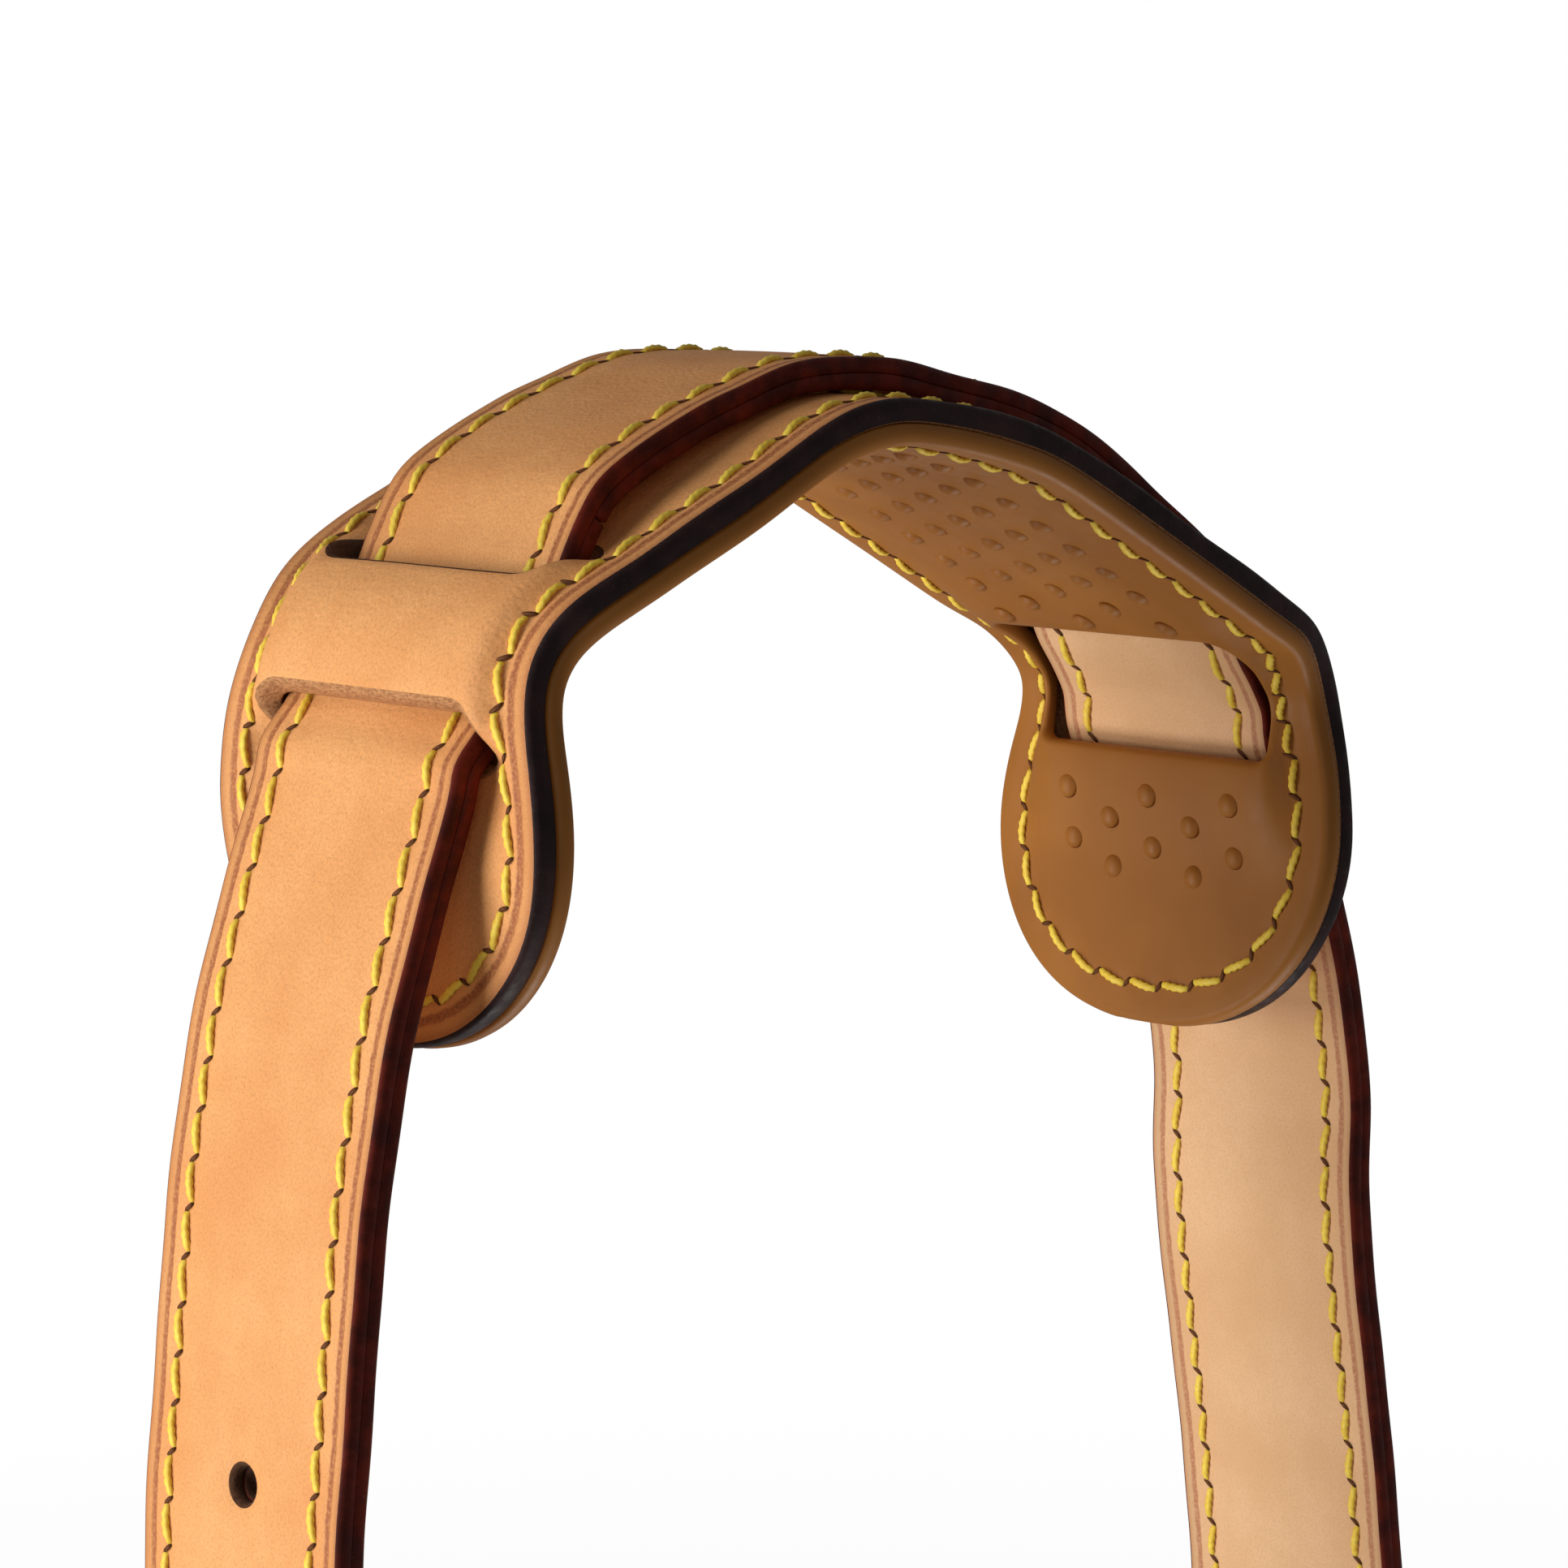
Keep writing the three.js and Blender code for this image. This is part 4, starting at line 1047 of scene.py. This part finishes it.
def strap_outline(start, end):
    s = np.append(np.arange(start, end, 0.5), end)
    if start == 0:
        point = TIP_TAPER * (1 - np.cos(np.linspace(0, math.pi / 2, 60)))
        s = np.concatenate([point, np.arange(TIP_TAPER + 0.5, end, 0.5), [end]])
    half = strap_half(s)
    lower, upper = np.column_stack([s, -half]), np.column_stack([s, half])[::-1]
    return even(np.vstack([lower, upper[:-1] if start == 0 else upper]), 0.9)


first_hole = strap_path.where_z(FIRST_HOLE_Z)


def punched(radius):
    """The holes of the left leg, in one layer. The one in use is worn wider and longer by the prong."""
    holes = [circle(first_hole - k * HOLE_PITCH, 0, radius) for k in (0, 1, 3, 4)]
    return holes + [circle(strap_path.nearest(-66.0, -149.6), 0, radius + 0.3, stretch=2.1)]


RIVET_Z = -210.0
RIVET_Y = 8.0
rivet_rows = (strap_path.nearest(90.9, RIVET_Z), strap_path.length - 7)
rivet_holes = [circle(s, side * RIVET_Y, 1.75) for s in rivet_rows for side in (-1, 1)]

STRAP_RINGS = (0.8, 1.25, 1.55, 1.8, 2.05, 2.4, 3.0, 3.5, 4.0, 4.5, 5.2, 6.2)
FACE_WALL = [(0.48, 0.0), (0.18, 0.11), (0.03, 0.32), (0.0, 0.6), (0.02, 0.95), (0.10, 1.0)]
BACK_WALL = [(0.10, 0.0), (0.02, 0.05), (0.0, 0.4), (0.03, 0.68), (0.18, 0.89), (0.48, 1.0)]


def from_long_edges(start, end):
    """How far a point is from the strap's long edges and its pointed end, but not from a seam."""
    reach = 40.0
    corners = [(start - reach, -STRAP_HALF), (end + reach, -STRAP_HALF), (end + reach, STRAP_HALF)]
    border = np.array(corners + [(start - reach, STRAP_HALF)])
    if start == 0:
        s = np.linspace(0, TIP_TAPER, 50)
        low, high = np.column_stack([s, -strap_half(s)]), np.column_stack([s, strap_half(s)])
        border = np.vstack([low, corners[1:], high[::-1]])
    return lambda points: gap_to(points, border)


def stitch_rows(start, end, gaps):
    """The stitch lines of a stretch. Round the pointed end they are one line."""
    y = STRAP_HALF - STITCH_INSET
    low, high = start + gaps[0], end - gaps[1]
    if start > 0:
        return [np.array([(low, -y), (high, -y)]), np.array([(high, y), (low, y)])]
    inner = even(shifted(strap_outline(start, end), STITCH_INSET), 0.4)
    inner = inner[inner[:, 0] < high - 3]
    near, far = inner[inner[:, 1] <= 0], inner[inner[:, 1] > 0]
    near, far = near[np.argsort(-near[:, 0])], far[np.argsort(far[:, 0])]
    return [np.vstack([[(high, -y)], near, far, [(high, y)]])]


def strap_layer(name, ends, holes, gaps, outer, thread_end=None):
    """One layer of a stretch of strap and its stitches. The leather sinks round the left leg's holes."""
    outline = strap_outline(*ends)
    lines = stitch_rows(ends[0], thread_end or ends[1], gaps)
    sink = puckers(lines, False)
    crease = along_edge(from_long_edges(*ends), 0.13)
    ripple = lambda p: 0.06 * np.sin(p[:, 0] * 0.43 + 2) * np.cos(p[:, 1] * 0.19)
    punches = holes if ends[0] == 0 else []
    dimple = lambda p: -0.28 * sum(np.exp(-((gap_to(p, h) / 0.8) ** 2)) for h in punches)
    fine = mesh_points(outline, holes, STRAP_RINGS, 0.93, (1.9, 1.9))
    rough = mesh_points(outline, holes, (2.0,), 2.5, (2.5, 4.0))
    if outer:
        lifts = [lambda p: sink(p) + crease(p) + ripple(p) + dimple(p), level]
        sheet = Sheet(strap_path, outline, holes, -LAYER, 0.0, FACE_WALL, fine, rough)
        word, side, grain, top = "outer", 1, TAN, ripple
        bands, hole_bands = [0] + [1] * 6, [0] + [2] * 6
    else:
        lifts = [level, lambda p: ripple(p) - sink(p) - 0.7 * crease(p)]
        sheet = Sheet(strap_path, outline, holes, -STRAP_THICKNESS, -LAYER - 0.04, BACK_WALL, rough, fine)
        word, side, grain, top = "inner", -1, PALE, lambda p: ripple(p) - STRAP_THICKNESS
        bands, hole_bands = [1] * 6 + [0], [2] * 6 + [0]
    # The walls of the holes take the raw edge's darker copy, which is painted shade.
    materials = [grain, PAINT, RAW_EDGE_SHADE]
    leather = sheet.build(f"{name}_{word}_leather", materials, *lifts, bands, [hole_bands] * len(holes))
    thread = stitches(f"{name}_{word}_stitches", strap_path, lines, False, top, side)
    return leather, thread


def strap_stretch(name, cad, body, outer_ends, inner_ends, holes, gaps, bend=None, thread_end=None):
    """A stretch of strap. One with a bend is attached to no body, its place baked into its mesh; the bend's
    points are not used.
    """
    face, face_thread = strap_layer(name, outer_ends, holes[0], gaps, True)
    back, back_thread = strap_layer(name, inner_ends, holes[1], gaps, False, thread_end)
    for piece, slot, nodes in [
        (face, "natural_leather", [f"{cad}_face_leather"]),
        (back, "inner_leather", [f"{cad}_back_leather"]),
        (face_thread, "waxed_thread", [f"{cad}_face_thread_near", f"{cad}_face_thread_far"]),
        (back_thread, "waxed_thread", [f"{cad}_back_thread_near", f"{cad}_back_thread_far"]),
    ]:
        if bend:
            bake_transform(piece)
        else:
            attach(piece, body)
        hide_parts(*nodes)


strap_stretch(
    "left_strap", "left_leg", "left_leg", (0, outer_seams[0]), (0, inner_seams[0]),
    (punched(HOLE_RADIUS), punched(HOLE_RADIUS - 0.25)), (0, 1.2),
    bend=((-0.0476, 0, -0.0275), (-0.056, 0, -0.052)),
)
strap_stretch(
    "crown_strap", "crown", "pad_and_crown", (outer_seams[0] + SEAM_GAP, outer_seams[1] - SEAM_GAP),
    (inner_seams[0] + SEAM_GAP, inner_seams[1] - SEAM_GAP), ([], []), (1.2, 1.2),
)
strap_stretch(
    "right_strap", "right_leg", "right_leg", (outer_seams[1], strap_path.length),
    (inner_seams[1], strap_path.length), (rivet_holes, rivet_holes), (1.2, 2.0),
    bend=((0.0695, 0, -0.041), (0.079, 0, -0.066)), thread_end=FOLD_BACK_THREAD_END,
)

# ---------------------------------------------------------------- buckle tab and keepers
# Each layer's outer face lies this far from the plane between the tab's two layers.
TAB_FACE = TAB_LEATHER + 0.05
heel_x, heel_z = HEEL_BAR
tab_path = Path(
    [
        (heel_x + TAB_FACE, -200.3), (heel_x + TAB_FACE, -215), (heel_x + TAB_FACE + 0.2, -223),
        (heel_x + TAB_FOLD - 0.7, -231),
    ]
    + arc(LEFT_EYE, TAB_FOLD, [-5, -45, -90, -135, -175])
    + [
        (heel_x - TAB_FOLD + 0.7, -231), (heel_x - TAB_FACE - 0.2, -223), (heel_x - TAB_FACE, -215),
        (heel_x - TAB_FACE, -198), (heel_x - TAB_FACE, -182), (heel_x - TAB_FACE - 0.2, -174),
        (heel_x - TAB_FOLD + 0.7, -166),
    ]
    + arc(HEEL_BAR, TAB_FOLD, [175, 135, 90, 45, 5])
    + [
        (heel_x + TAB_FOLD - 0.7, -166), (heel_x + TAB_FACE + 0.2, -174), (heel_x + TAB_FACE, -182),
        (heel_x + TAB_FACE, -199.7),
    ],
    smooth=0.4,
)


def plain_outline(length, half, spacing=0.9):
    return even(np.array([(0, -half), (length, -half), (length, half), (0, half)], float), spacing)


tab_outline = plain_outline(tab_path.length, STRAP_HALF)
slot_ends = [tab_path.nearest(heel_x + side * TAB_FOLD, heel_z - 7.0) for side in (-1, 1)]
tab_slot = rounded_box(*slot_ends, 3.0, (2.6, 2.6))
TAB_STITCH_Y = 12.2
STITCHED = (2.0, 19.5)
tab_lines = []
for start, turn in ((0, 1), (tab_path.length, -1)):
    near, far = start + turn * STITCHED[0], start + turn * STITCHED[1]
    y = TAB_STITCH_Y * turn
    tab_lines.append(np.array([(near, -y), (far, -y), (far, y), (near, y)]))
tab_sink = puckers(tab_lines, False)
tab_crease = along_edge(from_long_edges(1, tab_path.length), 0.12)
TAB_WALL = [(0.48, 0.0), (0.18, 0.10), (0.03, 0.28), (0.0, 0.6), (0.04, 0.92), (0.15, 1.0)]
tab = Sheet(
    tab_path, tab_outline, [tab_slot], -TAB_LEATHER, 0.0, TAB_WALL,
    mesh_points(tab_outline, [tab_slot], STRAP_RINGS, 0.93, (1.9, 1.9)),
    mesh_points(tab_outline, [tab_slot], (2.0,), 2.5, (1.6, 4.0)),
).build(
    "buckle_tab_leather", [TAN, PAINT, RAW, PALE], lambda p: tab_sink(p) + tab_crease(p), level,
    [0, 1, 1, 1, 1, 1, 3], [[0, 2, 2, 2, 2, 2, 3]],
)
dress(tab, "left_leg", "natural_leather", "buckle_tab")
tab_thread = stitches(
    "buckle_tab_stitches", tab_path, tab_lines, False, lambda p: level(p) - 0.16, 1, radius=0.29
)
dress(tab_thread, "left_leg", "waxed_thread")


class Loop(Path):
    """A path round the strap, in a level plane. The sheet's width runs downwards from the plane."""

    def __init__(self, points, plane):
        super().__init__(points, smooth=0.25)
        self.plane = plane

    def place(self, s, y, h):
        x, v, w = super().place(s, y, h).T
        return np.column_stack([x, w, self.plane - v])


KEEPER_RADIUS = 2.1
KEEPER_WALL = [(0.45, 0.0), (0.16, 0.12), (0.02, 0.35), (0.0, 0.65), (0.08, 0.9), (0.25, 1.0)]


def keeper(node, name, body):
    """A leather loop round the strap and the tab, as wide and as deep as its CAD node."""
    low, high = (np.array(corner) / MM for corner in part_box(node))
    x0, x1, half, radius = low[0], high[0], high[1], KEEPER_RADIUS
    loop = [(x1, 0), (x1, -half / 2), (x1, -half + radius)]
    loop += arc((x1 - radius, -half + radius), radius, [-22, -45, -68])
    loop += [(x1 - radius, -half), ((x0 + x1) / 2, -half), (x0 + radius, -half)]
    loop += arc((x0 + radius, -half + radius), radius, [-112, -135, -158])
    loop += [(x0, -half + radius), (x0, -half / 2), (x0, 0), (x0, half / 2), (x0, half - radius)]
    loop += arc((x0 + radius, half - radius), radius, [158, 135, 112])
    loop += [(x0 + radius, half), ((x0 + x1) / 2, half), (x1 - radius, half)]
    loop += arc((x1 - radius, half - radius), radius, [68, 45, 22])
    loop += [(x1, half - radius), (x1, half / 2), (x1, 0.08)]
    path = Loop(loop, (low[2] + high[2]) / 2)
    outline = plain_outline(path.length, (high[2] - low[2]) / 2, 0.7)
    crease = along_edge(from_border(outline), 0.10)
    sheet = Sheet(
        path, outline, [], -KEEPER_LEATHER, 0.0, KEEPER_WALL,
        mesh_points(outline, [], (0.8, 1.2, 1.5, 1.8, 2.1), 0.7, (1.0, 1.0)),
        mesh_points(outline, [], (), 0.9, (0.8, 2.0)),
    )
    made = sheet.build(name, [TAN, PAINT, PALE], crease, level, [0, 1, 1, 1, 1, 1, 2])
    return dress(made, body, "natural_leather", node)


keeper("keeper_fixed", "fixed_keeper_loop", "left_leg")
keeper("keeper_sliding", "sliding_keeper_loop", "sliding_keeper")


# ---------------------------------------------------------------- metal hardware
def cast_piece(node, name, body, voxel=0.30, rounds=6):
    """A brass casting: the CAD node's form with its edges and inner corners rounded over."""
    thing = bpy.data.objects.new(name, frame["nodes"][node].data.copy())
    scene.collection.objects.link(thing)
    remesh = thing.modifiers.new("remesh", "REMESH")
    remesh.mode = "VOXEL"
    remesh.voxel_size = voxel * MM
    soften = thing.modifiers.new("soften", "SMOOTH")
    soften.factor = 0.5
    soften.iterations = rounds
    made = bpy.data.meshes.new_from_object(thing.evaluated_get(bpy.context.evaluated_depsgraph_get()))
    thing.modifiers.clear()
    thing.data = made
    made.name = name
    made.materials.clear()
    made.materials.append(BRASS)
    made.polygons.foreach_set("use_smooth", np.ones(len(made.polygons), bool))
    made.polygons.foreach_set("material_index", np.zeros(len(made.polygons), np.int32))
    return dress(thing, body, "brass_hardware", node)


def turned_piece(name, profile, sides, material, place):
    """A lathe body from (radius, height) pairs. place turns axis-frame points into world ones."""
    a = np.arange(sides) * 2 * math.pi / sides
    rings = [np.column_stack([r * np.cos(a), r * np.sin(a), np.full(sides, h)]) for r, h in profile]
    return outward(new_object(name, place(np.vstack(rings)), tube_faces(len(profile), sides), [material]))


cast_piece("buckle_frame", "buckle_frame_cast", "left_leg")
cast_piece("buckle_prong", "buckle_prong_cast", "prong", voxel=0.22, rounds=5)
for side in ("left", "right"):
    cast_piece(f"{side}_hook_eye", f"{side}_hook_swivel_eye", f"{side}_eye")
    cast_piece(f"{side}_hook_body", f"{side}_hook_cast_body", f"{side}_hook")
    cast_piece(f"{side}_hook_gate", f"{side}_hook_gate_lever", f"{side}_gate", voxel=0.2, rounds=3)

RIVET_PROFILE = [
    (0.02, 0.05), (1.6, 0.0), (2.9, 0.05), (3.7, 0.2), (4.15, 0.45), (4.38, 0.8), (4.36, 1.02), (4.2, 1.1),
    (1.62, 1.12), (1.6, 1.3), (1.6, 8.7), (1.62, 8.88), (3.75, 8.9), (3.88, 9.0), (3.88, 9.3), (3.7, 9.6),
    (3.2, 9.85), (2.4, 9.96), (1.2, 10.0), (0.02, 10.0),
]
for word in ("near", "far"):
    low, high = (np.array(corner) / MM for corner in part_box(f"fold_rivet_{word}"))
    centre = (low + high) / 2
    turn = lambda p: np.column_stack([high[0] - p[:, 2], centre[1] + p[:, 0], centre[2] + p[:, 1]])
    rivet = turned_piece(f"{word}_fold_rivet", RIVET_PROFILE, 40, BRASS, turn)
    dress(rivet, "right_leg", "brass_hardware", f"fold_rivet_{word}")

# From the middle of the hook's eye to its gate's pin.
PIN_AT = (6.3, -27.5)
PIN_HALF = 3.0
PIN_PROFILE = [
    (0.02, 0.0), (0.55, 0.03), (0.80, 0.16), (0.90, 0.40),
    (0.90, 5.60), (0.80, 5.84), (0.55, 5.97), (0.02, 6.0),
]
SPRING_WIRE = 0.16
SPRING_RADIUS = 1.35
SPRING_TURNS = 2.25
for side, (eye_x, eye_z), facing in (("left", LEFT_EYE, -1), ("right", RIGHT_EYE, 1)):
    pin_x, pin_z = eye_x + facing * PIN_AT[0], eye_z + PIN_AT[1]
    turn = lambda p: np.column_stack([pin_x + p[:, 0], PIN_HALF - p[:, 2], pin_z + p[:, 1]])
    pin = turned_piece(f"{side}_hook_pivot_pin", PIN_PROFILE, 28, STEEL, turn)
    dress(pin, f"{side}_hook", "spring_steel", f"{side}_hook_gate_pin")

    t = np.linspace(0, 1, 120)
    angle = t * SPRING_TURNS * 2 * math.pi
    x = pin_x + facing * SPRING_RADIUS * np.cos(angle)
    coil = np.column_stack([x, facing * (0.72 + 0.8 * t), pin_z + SPRING_RADIUS * np.sin(angle)])
    wire = tube_points(coil, (0, 1, 0), SPRING_WIRE, np.arange(8) * math.pi / 4)
    spring = outward(new_object(f"{side}_hook_torsion_spring", wire, tube_faces(len(coil), 8), [STEEL]))
    dress(spring, f"{side}_hook", "spring_steel", f"{side}_hook_gate_spring")

low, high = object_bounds()
